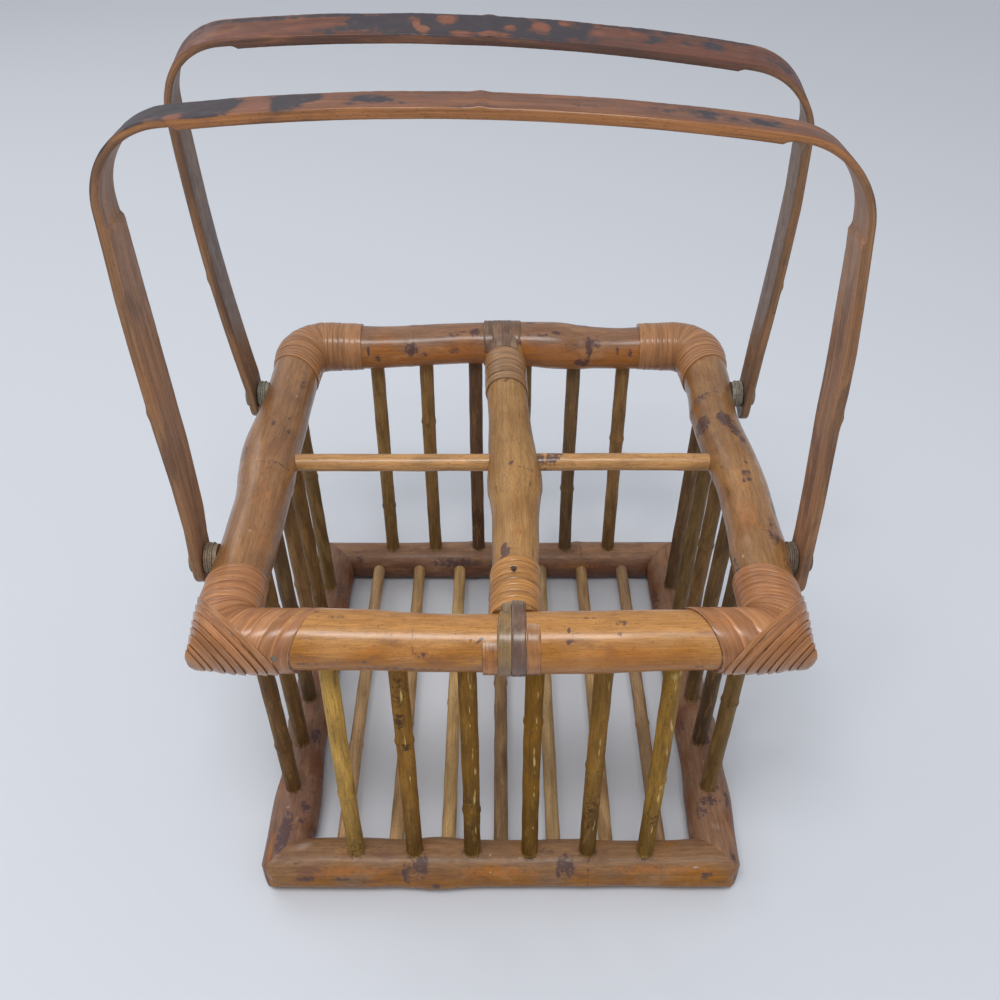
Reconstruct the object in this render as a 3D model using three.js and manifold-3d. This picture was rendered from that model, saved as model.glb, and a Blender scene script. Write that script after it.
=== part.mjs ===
// A carrier for four wine bottles, built from varnished poles, thin rods and split cane.
// Sizes are in millimetres. +X points to the right, +Y to the rear and +Z up.
// The origin is on the floor, under the middle of the basket.

import * as THREE from "three";
import { mergeVertices } from "three/addons/utils/BufferGeometryUtils.js";
import Module from "manifold-3d";

const wasm = await Module();
wasm.setup();

// Top frame, measured between the axes of its poles
const topWidth = 252;
const topDepth = 256;
const topHeight = 196.3;
const topRadius = 14;
const frontTipRounding = 5;
const rearElbowRadius = 17;
const topNodeRise = 0.9;

// Bottom frame, measured the same way
const bottomWidth = 243;
const bottomDepth = 253;
const bottomRadius = 13;
const bottomTipRounding = 14;
const sandedDepth = 0.6;
const bottomNodeRise = 0.8;

// Center rail and the two thin rods that make four compartments
const centerRadius = 12.5;
const centerShift = 5;
const centerSwellRise = 2.8;
const centerSwellHalfLength = 24;
const centerSwellSteps = 3;
const crossRadius = 4.9;
const crossShift = 5;
const crossSocketDepth = 7;

// Spindles between the frames, and how far the outer ones of a row stand from the rails beside them
const spindleRadius = 4.6;
const spindleSocketDepth = 9;
const endSpindleInset = 46;
const sideSpindleInset = 43;
const spindlesPerSide = 6;
const spindleNodeRise = 0.7;
const spindleNodeHalfLength = 3;

// Floor slats
const slatRadius = 4.2;
const slatSocketDepth = 7;
const slatInset = 31.5;
const slatRise = 1;
const slatCount = 7;

// Cane strips
const caneGap = 0.3;
const caneThickness = 1;
const caneRidge = 0.35;
const caneWidth = 4;
const canePitch = 4.6;

// Corner bindings: how far they reach along each rail, from the mitre point to their inner edge,
// and how much their last turns slant
const frontBindingReach = 45;
const frontBindingSlantAngle = 28;
const frontSideBindingReach = 37;
const tipBindingStart = 9.1;
const rearBindingReach = 38;
const rearSideBindingReach = 37;
const rearSideBindingSlantAngle = 18;

// Lashings of the center rail and the straps over the end rails
const frontLashingTurns = 7;
const rearLashingTurns = 8;
const lashingStart = 17;
const strapStripWidths = [6, 6.5, 4.5, 6];
const strapStripThicknesses = [1.2, 1.5, 1.7, 1.3];
const strapTongueWidth = 10;
const strapTongueReach = 15;

// Handles, bent from flat strips and hinged on bolts that stand this far in from the end rails
const pivotInset = 55;
const frontRise = 218.5;
const rearRise = 221.5;
const handleBendRadius = 36;
const handleCrownAngle = 7;
const stripWidth = 21;
const stripThickness = 5;
const paredThickness = 3.6;
const paredStepLength = 2.5;
const paredRunIn = 5;
const stripChamfer = 0.9;
const stripNodeRise = 0.7;
const stripNodeHalfLength = 4;
const leftLegDrop = 14;
const rightLegDrop = 17;
const legEndChamfer = 3;

// How the bent handles stand: both lean in towards each other, sway to the left above the
// washers and droop to the right
const frontLeanAngle = 2.5;
const rearLeanAngle = 10;
const frontSway = 7.5;
const rearSway = 4.7;
const frontDroop = 3.7;
const rearDroop = 7.5;
const swayStart = 12;

// Bolts and washers
const boltRadius = 2.5;
const boltHeadRadius = 4.7;
const boltHeadHeight = 2.6;
const boltGrip = 12;
const washerRadius = 8;
const washerThickness = 1.4;
const washerCount = 3;
const washerGroove = 0.4;

// Clearances and cutting allowances
const jointGap = 0.3;
const pivotGap = 0.3;
const overrun = 20;
const nodeHalfLength = 4;

// Facets round a pole, a rod, a fastener and one turn of cane, and along the bends
const poleSides = 16;
const rodSides = 8;
const fastenerSides = 10;
const turnSteps = 16;
const elbowSteps = 8;
const bendSteps = 7;
const barSteps = 4;

// Where the growth rings lie, as shares of each pole's length from its left or front end
const frontNodeShares = [0.62];
const rearNodeShares = [0.3, 0.66];
const leftNodeShares = [0.5];
const rightNodeShares = [0.42, 0.8];
const centerSwellShares = [0.48];
const bottomFrontNodeShares = [0.33, 0.66];
const bottomRearNodeShares = [0.42, 0.72];
const bottomSideNodeShares = [0.4, 0.75];
const spindleNodeShares = [0.37, 0.62, 0.28, 0.7, 0.5, 0.44];

const halfTopWidth = topWidth / 2;
const halfTopDepth = topDepth / 2;
const halfBottomWidth = bottomWidth / 2;
const halfBottomDepth = bottomDepth / 2;
const bottomHeight = bottomRadius - sandedDepth;
const slatHeight = bottomHeight + slatRise;

const up = new THREE.Vector3(0, 1, 0);
const basket = new THREE.Group();

// A point in space
function at(x, y, z) {
  return new THREE.Vector3(x, y, z);
}

// A closed geometry as a solid that can be joined and cut
function solidOf(geometry) {
  const bare = geometry.index ? geometry.toNonIndexed() : geometry.clone();
  bare.deleteAttribute("normal");
  bare.deleteAttribute("uv");
  const merged = mergeVertices(bare);
  const triVerts = new Uint32Array(merged.index.array);
  const vertProperties = merged.attributes.position.array;
  return new wasm.Manifold(new wasm.Mesh({ numProp: 3, vertProperties, triVerts }));
}

// The other way round: a solid as a geometry
function geometryOf(solid) {
  const { vertProperties, triVerts } = solid.getMesh();
  const geometry = new THREE.BufferGeometry();
  geometry.setAttribute("position", new THREE.BufferAttribute(vertProperties, 3));
  geometry.setIndex(new THREE.BufferAttribute(triVerts, 1));
  geometry.computeVertexNormals();
  return geometry;
}

// All solids of a list joined into one
function join(solids) {
  return solids.reduce((whole, solid) => whole.add(solid));
}

// A geometry that stands along Y, laid from one point towards another
function lay(geometry, from, to) {
  const direction = to.clone().sub(from).normalize();
  geometry.applyQuaternion(new THREE.Quaternion().setFromUnitVectors(up, direction));
  return geometry.translate(from.x, from.y, from.z);
}

// A plain round bar between two points
function bar(from, to, radius, sides = poleSides) {
  const length = from.distanceTo(to);
  const geometry = new THREE.CylinderGeometry(radius, radius, length, sides);
  return lay(geometry.translate(0, length / 2, 0), from, to);
}

// A pole between two points, with a low swelling at each growth ring
function pole(from, to, { radius, sides = poleSides, nodeShares, rise, halfLength, steps = 1 }) {
  const length = from.distanceTo(to);
  const profile = [new THREE.Vector2(0, 0), new THREE.Vector2(radius, 0)];
  for (const share of nodeShares) {
    for (let step = -steps; step <= steps; step++) {
      const swell = (1 + Math.cos((Math.PI * step) / steps)) / 2;
      const height = share * length + (halfLength * step) / steps;
      profile.push(new THREE.Vector2(radius + rise * swell, height));
    }
  }
  profile.push(new THREE.Vector2(radius, length), new THREE.Vector2(0, length));
  return lay(new THREE.LatheGeometry(profile, sides), from, to);
}

// An upright prism over an outline of [x, y] pairs, taller than any pole is thick
function prism(outline, height) {
  const shape = new THREE.Shape(outline.map(([x, y]) => new THREE.Vector2(x, y)));
  const tall = 2 * (topRadius + overrun);
  const geometry = new THREE.ExtrudeGeometry(shape, { depth: tall, bevelEnabled: false });
  return solidOf(geometry.translate(0, 0, height - tall / 2));
}

// A skin through a row of rings that all have the same number of corners
function loft(rings) {
  const corners = rings[0].length;
  const positions = rings.flat().flatMap((point) => point.toArray());
  const index = [];
  for (let ring = 0; ring + 1 < rings.length; ring++) {
    for (let corner = 0; corner < corners; corner++) {
      const here = ring * corners + corner;
      const next = ring * corners + ((corner + 1) % corners);
      index.push(here, next, next + corners, here, next + corners, here + corners);
    }
  }
  const last = (rings.length - 1) * corners;
  for (let corner = 1; corner + 1 < corners; corner++) {
    index.push(0, corner + 1, corner, last, last + corner, last + corner + 1);
  }
  const geometry = new THREE.BufferGeometry();
  geometry.setAttribute("position", new THREE.Float32BufferAttribute(positions, 3));
  geometry.setIndex(index);
  return geometry;
}

// Materials
function finish(color, roughness, metalness = 0) {
  return new THREE.MeshStandardMaterial({ color, roughness, metalness });
}
const topPoleFinish = finish(0xaa6937, 0.35);
const bottomPoleFinish = finish(0x966950, 0.45);
const centerPoleFinish = finish(0xaa784b, 0.45);
const rodFinish = finish(0x967332, 0.5);
const slatFinish = finish(0xaf825f, 0.6);
const caneFinish = finish(0xa56e4b, 0.4);
const strapFinish = finish(0x8c7364, 0.5);
const handleFinish = finish(0x6e4637, 0.45);
const metalFinish = finish(0x78787a, 0.45, 0.9);

// A named mesh of a solid or geometry, added to the basket
function piece(name, shape, material) {
  const geometry = shape.isBufferGeometry ? shape : geometryOf(shape);
  const mesh = new THREE.Mesh(geometry, material);
  mesh.name = name;
  basket.add(mesh);
  return mesh;
}

// Evenly spaced places about zero, the outer ones a reach away from it
function spread(count, reach) {
  const pitch = (2 * reach) / (count - 1);
  return Array.from({ length: count }, (_, i) => (i - (count - 1) / 2) * pitch);
}

// Every rod that plugs into the frames or the center rail, with its two ends
const topSocketEnd = topHeight - topRadius + spindleSocketDepth;
const bottomSocketEnd = bottomHeight + bottomRadius - spindleSocketDepth;
const rods = [];

// Spindles lean a little, because the top frame is larger than the bottom one
function addSpindle(side, number, [footX, footY], [headX, headY], nodeShare) {
  rods.push({
    name: `${side}_spindle_${number}`,
    from: at(footX, footY, bottomSocketEnd),
    to: at(headX, headY, topSocketEnd),
    radius: spindleRadius,
    nodeShares: [nodeShare],
    material: rodFinish,
  });
}

// The growth rings of neighbouring spindles lie at different heights
function spindleNodeShare(number) {
  return spindleNodeShares[number % spindleNodeShares.length];
}

spread(spindlesPerSide, halfTopWidth - endSpindleInset).forEach((x, i) => {
  const [frontShare, rearShare] = [i, i + 2].map(spindleNodeShare);
  addSpindle("front", i + 1, [x, -halfBottomDepth], [x, -halfTopDepth], frontShare);
  addSpindle("rear", i + 1, [x, halfBottomDepth], [x, halfTopDepth], rearShare);
});

spread(spindlesPerSide, halfTopDepth - sideSpindleInset).forEach((y, i) => {
  const [leftShare, rightShare] = [i + 2, i + 4].map(spindleNodeShare);
  addSpindle("left", i + 1, [-halfBottomWidth, y], [-halfTopWidth, y], leftShare);
  addSpindle("right", i + 1, [halfBottomWidth, y], [halfTopWidth, y], rightShare);
});

spread(slatCount, halfBottomWidth - slatInset).forEach((x, i) => {
  const reach = halfBottomDepth - bottomRadius + slatSocketDepth;
  rods.push({
    name: `floor_slat_${i + 1}`,
    from: at(x, -reach, slatHeight),
    to: at(x, reach, slatHeight),
    radius: slatRadius,
    nodeShares: [],
    material: slatFinish,
  });
});

for (const [hand, side] of [["left", -1], ["right", 1]]) {
  const inner = centerShift + side * (centerRadius - crossSocketDepth);
  const outer = side * (halfTopWidth - topRadius + crossSocketDepth);
  rods.push({
    name: `${hand}_cross_rod`,
    from: at(inner, crossShift, topHeight),
    to: at(outer, crossShift, topHeight),
    radius: crossRadius,
    nodeShares: [],
    material: rodFinish,
  });
}

for (const { name, from, to, radius, nodeShares, material } of rods) {
  const node = { nodeShares, rise: spindleNodeRise, halfLength: spindleNodeHalfLength };
  piece(name, pole(from, to, { radius, sides: rodSides, ...node }), material);
}

// Each rod's socket: the rod with a clearance round it and at its ends
const sockets = join(
  rods.map(({ from, to, radius }) => {
    const along = to.clone().sub(from).setLength(jointGap);
    const hole = bar(from.clone().sub(along), to.clone().add(along), radius + jointGap, rodSides);
    return solidOf(hole);
  }),
);

// The four pivots, where each handle's legs are bolted to the side rails
const handles = [
  { end: "front", side: -1, lean: frontLeanAngle, rise: frontRise, sway: frontSway, droop: frontDroop },
  { end: "rear", side: 1, lean: rearLeanAngle, rise: rearRise, sway: rearSway, droop: rearDroop },
];
const halfPivotSpread = halfTopDepth - pivotInset;
const stackInner = halfTopWidth + topRadius + jointGap;
const stackLength = washerCount * washerThickness;
const legInner = stackInner + stackLength + jointGap;
const legOuter = legInner + stripThickness;
const boltSeat = legOuter + jointGap;
const boltTip = stackInner - boltGrip;

// The holes that the bolts need in the side rails
const boltHoles = join(
  handles.flatMap(({ side }) =>
    [-1, 1].map((hand) => {
      const tip = at(hand * (boltTip - jointGap), side * halfPivotSpread, topHeight);
      const mouth = at(hand * boltSeat, side * halfPivotSpread, topHeight);
      return solidOf(bar(tip, mouth, boltRadius + jointGap, fastenerSides));
    }),
  ),
);

// What lies beyond a mitre from one of its two rails, as a triangle in plan. The mitre point is
// at cornerX and cornerY, and along names the axis of the rail that is kept.
function mitreWaste(cornerX, cornerY, along) {
  const reach = Math.max(topWidth, topDepth);
  const [outX, outY] = [Math.sign(cornerX), Math.sign(cornerY)];
  const x = cornerX - (along === "x" ? (outX * jointGap) / 2 : 0);
  const y = cornerY - (along === "y" ? (outY * jointGap) / 2 : 0);
  const tip = [x + outX * reach, y + outY * reach];
  const inner = [x - outX * reach, y - outY * reach];
  return [tip, inner, along === "x" ? [tip[0], inner[1]] : [inner[0], tip[1]]];
}

// A square block in plan, from a point near a corner outwards past the corner
function outerBlock(x, y, outX, outY, height) {
  const farX = x + outX * (topRadius + rearElbowRadius + overrun);
  const farY = y + outY * (topRadius + rearElbowRadius + overrun);
  return prism([[x, y], [farX, y], [farX, farY], [x, farY]], height);
}

// What a corner that is rounded in plan takes away from a square one
function roundingWaste(cornerX, cornerY, radius, rounding, height) {
  const [outX, outY] = [Math.sign(cornerX), Math.sign(cornerY)];
  const x = cornerX + outX * (radius - rounding);
  const y = cornerY + outY * (radius - rounding);
  const tall = 2 * (topRadius + 2 * overrun);
  const post = new THREE.CylinderGeometry(rounding, rounding, tall, poleSides * 2);
  post.rotateX(Math.PI / 2).translate(x, y, height);
  return outerBlock(x, y, outX, outY, height).subtract(solidOf(post));
}

// What an elbow, a quarter of a ring, takes away from the ends of its two rails
function elbowWaste(cornerX, cornerY) {
  const [outX, outY] = [Math.sign(cornerX), Math.sign(cornerY)];
  const x = cornerX - outX * rearElbowRadius;
  const y = cornerY - outY * rearElbowRadius;
  const ring = new THREE.TorusGeometry(rearElbowRadius, topRadius, poleSides, elbowSteps * 4);
  ring.translate(x, y, topHeight);
  return outerBlock(x, y, outX, outY, topHeight).subtract(solidOf(ring));
}

// One rail of a frame, mitred at both ends. It lies along an axis, with its mitre points half a
// run from the middle, and the offset is its place across the frame.
function rail({ along, halfRun, offset, height, radius, rise, nodeShares, wastes }) {
  const place = (distance) => (along === "x" ? [distance, offset] : [offset, distance]);
  const reach = halfRun + radius + jointGap;
  const [from, to] = [-reach, reach].map((distance) => at(...place(distance), height));
  let body = solidOf(pole(from, to, { radius, nodeShares, rise, halfLength: nodeHalfLength }));
  for (const distance of [-halfRun, halfRun]) {
    body = body.subtract(prism(mitreWaste(...place(distance), along), height));
  }
  for (const waste of wastes) body = body.subtract(waste);
  return body.subtract(sockets);
}

// Top frame: pointed at the front, rounded at the rear
const topCornerWastes = [-1, 1].flatMap((side) => [
  roundingWaste(side * halfTopWidth, -halfTopDepth, topRadius, frontTipRounding, topHeight),
  elbowWaste(side * halfTopWidth, halfTopDepth),
]);
const topRails = [
  ["top_front_rail", "x", -halfTopDepth, frontNodeShares],
  ["top_rear_rail", "x", halfTopDepth, rearNodeShares],
  ["top_left_rail", "y", -halfTopWidth, leftNodeShares],
  ["top_right_rail", "y", halfTopWidth, rightNodeShares],
];
for (const [name, along, offset, nodeShares] of topRails) {
  const halfRun = along === "x" ? halfTopWidth : halfTopDepth;
  const place = { along, halfRun, offset, height: topHeight, radius: topRadius };
  const body = rail({ ...place, rise: topNodeRise, nodeShares, wastes: topCornerWastes });
  piece(name, body.subtract(boltHoles), topPoleFinish);
}

// Bottom frame: small rounded corners, and an underside sanded flat where it stands
const bottomCornerWastes = [-1, 1].flatMap((sideX) =>
  [-1, 1].map((sideY) => {
    const [cornerX, cornerY] = [sideX * halfBottomWidth, sideY * halfBottomDepth];
    return roundingWaste(cornerX, cornerY, bottomRadius, bottomTipRounding, bottomHeight);
  }),
);
const floorWidth = bottomWidth + 2 * overrun;
const floorDepth = bottomDepth + 2 * overrun;
const floorBlock = new THREE.BoxGeometry(floorWidth, floorDepth, overrun);
bottomCornerWastes.push(solidOf(floorBlock.translate(0, 0, -overrun / 2)));
const bottomRails = [
  ["bottom_front_rail", "x", -halfBottomDepth, bottomFrontNodeShares],
  ["bottom_rear_rail", "x", halfBottomDepth, bottomRearNodeShares],
  ["bottom_left_rail", "y", -halfBottomWidth, bottomSideNodeShares],
  ["bottom_right_rail", "y", halfBottomWidth, bottomSideNodeShares],
];
for (const [name, along, offset, nodeShares] of bottomRails) {
  const halfRun = along === "x" ? halfBottomWidth : halfBottomDepth;
  const place = { along, halfRun, offset, height: bottomHeight, radius: bottomRadius };
  const body = rail({ ...place, rise: bottomNodeRise, nodeShares, wastes: bottomCornerWastes });
  piece(name, body, bottomPoleFinish);
}

// Center rail, coped round the front and rear rails
function endRailBar(side, radius) {
  const left = at(-halfTopWidth, side * halfTopDepth, topHeight);
  const right = at(halfTopWidth, side * halfTopDepth, topHeight);
  return solidOf(bar(left, right, radius));
}
const centerFront = at(centerShift, -halfTopDepth, topHeight);
const centerRear = at(centerShift, halfTopDepth, topHeight);
const centerPole = pole(centerFront, centerRear, {
  radius: centerRadius,
  nodeShares: centerSwellShares,
  rise: centerSwellRise,
  halfLength: centerSwellHalfLength,
  steps: centerSwellSteps,
});
const centerRail = [-1, 1].reduce(
  (body, side) => body.subtract(endRailBar(side, topRadius + jointGap)),
  solidOf(centerPole).subtract(sockets),
);
piece("center_rail", centerRail, centerPoleFinish);

// Binding of a corner of the top frame. In this section the mitre point is at zero, x runs along
// the end rail and y along the side rail, both towards the middle of the basket.
// An edge between two turns is a straight cut in plan. It says where a point lies in plan that is
// so far out from the pole's axis.
const bindingOuter = topRadius + caneThickness + 3 * caneRidge;
const fanApex = bindingOuter + caneGap;

function endEdge(start, lean) {
  return (out) => [start - (out + fanApex) * lean, -out];
}

function sideEdge(start, lean) {
  return (out) => [-out, start - (out + fanApex) * lean];
}

function elbowEdge(angle) {
  return (out) => [
    rearElbowRadius - (rearElbowRadius + out) * Math.sin(angle),
    rearElbowRadius - (rearElbowRadius + out) * Math.cos(angle),
  ];
}

// The ring that an edge cuts from a round skin of this radius
function edgeRing(edge, radius) {
  return Array.from({ length: poleSides }, (_, i) => {
    const angle = (2 * Math.PI * i) / poleSides;
    const [x, y] = edge(radius * Math.cos(angle));
    return at(x, y, radius * Math.sin(angle));
  });
}

// The poles of a corner grown by an offset, between the first and the last edge
function grownPoles(edges, offset) {
  return solidOf(loft(edges.map((edge) => edgeRing(edge, topRadius + offset))));
}

// Turns side by side, every other one a little prouder
function turnsBetween(edges, offset) {
  const rings = edges.slice(1).flatMap((edge, i) => {
    const radius = topRadius + offset + (i % 2 ? 0 : caneRidge);
    return [edgeRing(edges[i], radius), edgeRing(edge, radius)];
  });
  return solidOf(loft(rings));
}

// Places from a start to an end in even steps of about one pitch, without the last
function steps(start, end, pitch) {
  const count = Math.max(1, Math.round(Math.abs(end - start) / pitch));
  return Array.from({ length: count }, (_, i) => start + ((end - start) * i) / count);
}

// What the rounded tip takes away from the grown poles of a front corner
function tipWaste(offset) {
  const center = frontTipRounding - topRadius;
  const rounding = frontTipRounding + offset;
  const tall = 2 * (topRadius + 2 * overrun);
  const post = new THREE.CylinderGeometry(rounding, rounding, tall, poleSides * 2);
  post.rotateX(Math.PI / 2).translate(center, center, 0);
  return outerBlock(center, center, -1, -1, 0).subtract(solidOf(post));
}

// Front corner: turns along both poles, a fan round the inner corner, and over them a second
// layer that crosses the tip square to its diagonal
function frontBinding() {
  const lean = Math.tan(THREE.MathUtils.degToRad(frontBindingSlantAngle));
  const slantedPitch = canePitch / Math.cos(Math.atan(lean));
  const edges = [
    ...steps(frontBindingReach, fanApex, slantedPitch).map((start) => endEdge(start, lean)),
    ...steps(lean, 1, (1 - lean) / 2).map((fanLean) => endEdge(fanApex, fanLean)),
    ...steps(1, 0, 1 / 3).map((fanLean) => sideEdge(fanApex, fanLean)),
    ...steps(fanApex, frontSideBindingReach, canePitch).map((start) => sideEdge(start, 0)),
    sideEdge(frontSideBindingReach, 0),
  ];
  const under = turnsBetween(edges, caneThickness);
  const mitre = (out) => [-out, -out];
  const ends = [endEdge(frontBindingReach + overrun, 0), sideEdge(frontSideBindingReach + overrun, 0)];
  const poles = (offset) => grownPoles([ends[0], mitre, ends[1]], offset);
  const wide = frontBindingReach + overrun;
  const slab = (start, end) => {
    const [a, b] = [start * Math.SQRT2, end * Math.SQRT2];
    return prism([[a + wide, -wide], [-wide, a + wide], [-wide, b + wide], [b + wide, -wide]], 0);
  };
  const tipLayer = (offset) => poles(offset).subtract(tipWaste(offset));
  const low = tipLayer(caneThickness + 2 * caneRidge);
  const high = tipLayer(caneThickness + 3 * caneRidge);
  const starts = steps(tipBindingStart, -topRadius * Math.SQRT2, canePitch);
  const proud = starts.filter((_, i) => i % 2 === 0);
  const over = proud.map((start) => high.intersect(slab(start, start - canePitch)));
  over.push(low.intersect(slab(tipBindingStart, -bindingOuter * Math.SQRT2 - overrun)));
  const whole = join([under.subtract(tipWaste(caneThickness)), ...over]);
  return whole.subtract(poles(caneGap).subtract(tipWaste(caneGap)));
}

// Rear corner: turns along the rear rail, round the elbow and a little way along the side rail
function rearBinding() {
  const lean = Math.tan(THREE.MathUtils.degToRad(rearSideBindingSlantAngle));
  const sideRun = rearSideBindingReach - rearElbowRadius;
  const sideStart = (place) => {
    const share = (place - rearElbowRadius) / sideRun;
    return sideEdge(place + share * lean * (fanApex - topRadius), share * lean);
  };
  const elbow = steps(0, Math.PI / 2, Math.PI / 2 / elbowSteps).map(elbowEdge);
  const edges = [
    ...steps(rearBindingReach, rearElbowRadius, canePitch).map((start) => endEdge(start, 0)),
    ...elbow,
    ...steps(rearElbowRadius, rearSideBindingReach, canePitch).map(sideStart),
    sideStart(rearSideBindingReach),
  ];
  const inside = [endEdge(rearBindingReach + overrun, 0), ...elbow, elbowEdge(Math.PI / 2)];
  inside.push(sideEdge(rearSideBindingReach + overrun, 0));
  return turnsBetween(edges, caneThickness + 2 * caneRidge).subtract(grownPoles(inside, caneGap));
}

// Each binding is made for the left and mirrored to the right
for (const [end, sideY, shape] of [["front", -1, frontBinding()], ["rear", 1, rearBinding()]]) {
  for (const [hand, sideX] of [["left", -1], ["right", 1]]) {
    const binding = piece(`${end}_${hand}_corner_binding`, shape, caneFinish);
    binding.position.set(sideX * halfTopWidth, sideY * halfTopDepth, topHeight);
    binding.scale.set(-sideX, -sideY, 1);
  }
}

// A strip wound round the center rail as one unbroken ribbon, given as rings of four corners
function lashingRings(turns, side) {
  const inner = centerRadius + caneGap;
  const start = halfTopDepth - lashingStart;
  return Array.from({ length: turns * turnSteps + 1 }, (_, i) => {
    const angle = (2 * Math.PI * i) / turnSteps;
    const near = start - (canePitch * i) / turnSteps;
    const corner = (radius, y) =>
      at(centerShift + radius * Math.sin(angle), side * y, topHeight + radius * Math.cos(angle));
    return [
      corner(inner, near),
      corner(inner, near - caneWidth),
      corner(inner + caneThickness, near - caneWidth),
      corner(inner + caneThickness, near),
    ];
  });
}

// The least distance between the points of one turn and those of the turns after it
function leastTurnGap(rings) {
  let least = Infinity;
  for (let i = 0; i < rings.length; i++) {
    for (const ring of rings.slice(i + turnSteps / 2)) {
      const gaps = rings[i].flatMap((here) => ring.map((there) => here.distanceTo(there)));
      least = Math.min(least, ...gaps);
    }
  }
  return least;
}

for (const [end, side, turns] of [["front", -1, frontLashingTurns], ["rear", 1, rearLashingTurns]]) {
  const rings = lashingRings(turns, side);
  console.log(`${end} lashing: least gap between turns ${leastTurnGap(rings).toFixed(2)} mm`);
  const winding = loft(side < 0 ? rings : rings.map((ring) => ring.reverse()));
  piece(`${end}_center_lashing`, winding, caneFinish);
}

// Straps of four split strips, folded round the end rails over the center rail's ends
function strapStrip(width, thickness, left, y) {
  const inner = topRadius + caneGap;
  const shape = new THREE.Shape().absarc(0, 0, inner + thickness, 0, 2 * Math.PI);
  shape.holes.push(new THREE.Path().absarc(0, 0, inner, 0, 2 * Math.PI));
  const options = { depth: width, bevelEnabled: false, curveSegments: turnSteps / 2 };
  const geometry = new THREE.ExtrudeGeometry(shape, options);
  return solidOf(geometry.rotateY(Math.PI / 2).translate(left, y, topHeight));
}

// The strap's tongues lie on the center rail, above and below it
function strapTongue(side, above) {
  const thickness = strapStripThicknesses[0];
  const tongue = new THREE.BoxGeometry(strapTongueWidth, strapTongueReach, thickness);
  const y = side * (halfTopDepth - strapTongueReach / 2);
  const height = topHeight + above * (centerRadius + caneGap + thickness / 2);
  return solidOf(tongue.translate(centerShift, y, height));
}

function strap(side) {
  const total = strapStripWidths.reduce((sum, width) => sum + width);
  let left = centerShift - total / 2;
  const parts = [strapTongue(side, -1), strapTongue(side, 1)];
  strapStripWidths.forEach((width, i) => {
    parts.push(strapStrip(width, strapStripThicknesses[i], left, side * halfTopDepth));
    left += width;
  });
  const endRail = endRailBar(side, topRadius + caneGap);
  const crossing = solidOf(bar(centerFront, centerRear, centerRadius + jointGap));
  return join(parts).subtract(endRail).subtract(crossing).subtract(sockets);
}
piece("front_saddle_strap", strap(-1), strapFinish);
piece("rear_saddle_strap", strap(1), strapFinish);

// Half of a handle before it sways, from the end of its leg to the middle of its bar. Each stop
// lies on the strip's outer line and says which way is out and how thick and wide the strip is.
function handleStops(rise, legDrop) {
  const crown = THREE.MathUtils.degToRad(handleCrownAngle);
  const barRadius = (legOuter - handleBendRadius) / Math.sin(crown) + handleBendRadius;
  const barCenter = rise - barRadius;
  const legTop = barCenter + (barRadius - handleBendRadius) * Math.cos(crown);
  const stops = [];
  const add = (x, z, angle, { width = stripWidth, proud = 0, thickness = stripThickness } = {}) => {
    stops.push({ x, z, angle, width, proud, thickness });
  };
  const node = { proud: stripNodeRise, thickness: stripThickness + stripNodeRise };
  const pared = { thickness: paredThickness };
  const onLeg = (height, shape) => add(-legOuter, height, 0, shape);
  const halfChamfer = legEndChamfer / 2;
  const endWidth = stripWidth - 2 * legEndChamfer;
  onLeg(-legDrop, { width: endWidth, proud: -halfChamfer, thickness: stripThickness - halfChamfer });
  onLeg(legEndChamfer - legDrop);
  onLeg(swayStart);
  onLeg(legTop / 2 - stripNodeHalfLength);
  onLeg(legTop / 2, node);
  onLeg(legTop / 2 + stripNodeHalfLength);
  onLeg(legTop - paredRunIn - paredStepLength);
  onLeg(legTop - paredRunIn, pared);
  const bendSweep = Math.PI / 2 - crown;
  for (let step = 0; step <= bendSteps; step++) {
    const angle = (bendSweep * step) / bendSteps;
    const x = -legOuter + handleBendRadius * (1 - Math.cos(angle));
    add(x, legTop + handleBendRadius * Math.sin(angle), angle, pared);
  }
  const barRun = crown * barRadius;
  const onBar = (run, shape) => {
    const fromMiddle = (barRun - run) / barRadius;
    const x = -barRadius * Math.sin(fromMiddle);
    add(x, barCenter + barRadius * Math.cos(fromMiddle), Math.PI / 2 - fromMiddle, shape);
  };
  onBar(paredRunIn, pared);
  onBar(paredRunIn + paredStepLength);
  for (let step = 1; step < barSteps; step++) onBar((barRun * step) / barSteps);
  onBar(barRun - stripNodeHalfLength);
  onBar(barRun, node);
  return stops;
}

// The strip's section at a stop: a flat bar with its long edges taken off
function stripRing({ x, z, angle, width, proud, thickness }, hand) {
  const halfWidth = width / 2;
  const inner = proud - thickness;
  const corners = [
    [halfWidth, proud - stripChamfer],
    [halfWidth - stripChamfer, proud],
    [-halfWidth + stripChamfer, proud],
    [-halfWidth, proud - stripChamfer],
    [-halfWidth, inner + stripChamfer],
    [-halfWidth + stripChamfer, inner],
    [halfWidth - stripChamfer, inner],
    [halfWidth, inner + stripChamfer],
  ];
  return corners.map(([y, out]) =>
    at(-hand * (x - out * Math.cos(angle)), y, z + out * Math.sin(angle)),
  );
}

// The handle as it stands: above the washers it sways to the left and droops to the right
function handleStrip({ rise, sway, droop }) {
  const leftHalf = handleStops(rise, leftLegDrop).map((stop) => stripRing(stop, -1));
  const rightHalf = handleStops(rise, rightLegDrop).map((stop) => stripRing(stop, 1));
  const rings = [...leftHalf, ...rightHalf.slice(0, -1).reverse()];
  for (const point of rings.flat()) {
    const share = Math.max(0, (point.z - swayStart) / (rise - swayStart));
    point.z -= (share * droop * point.x) / legOuter;
    point.x -= share * sway;
  }
  const hole = bar(at(-boltSeat, 0, 0), at(boltSeat, 0, 0), boltRadius + pivotGap, fastenerSides);
  return solidOf(loft(rings)).subtract(solidOf(hole));
}

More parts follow.
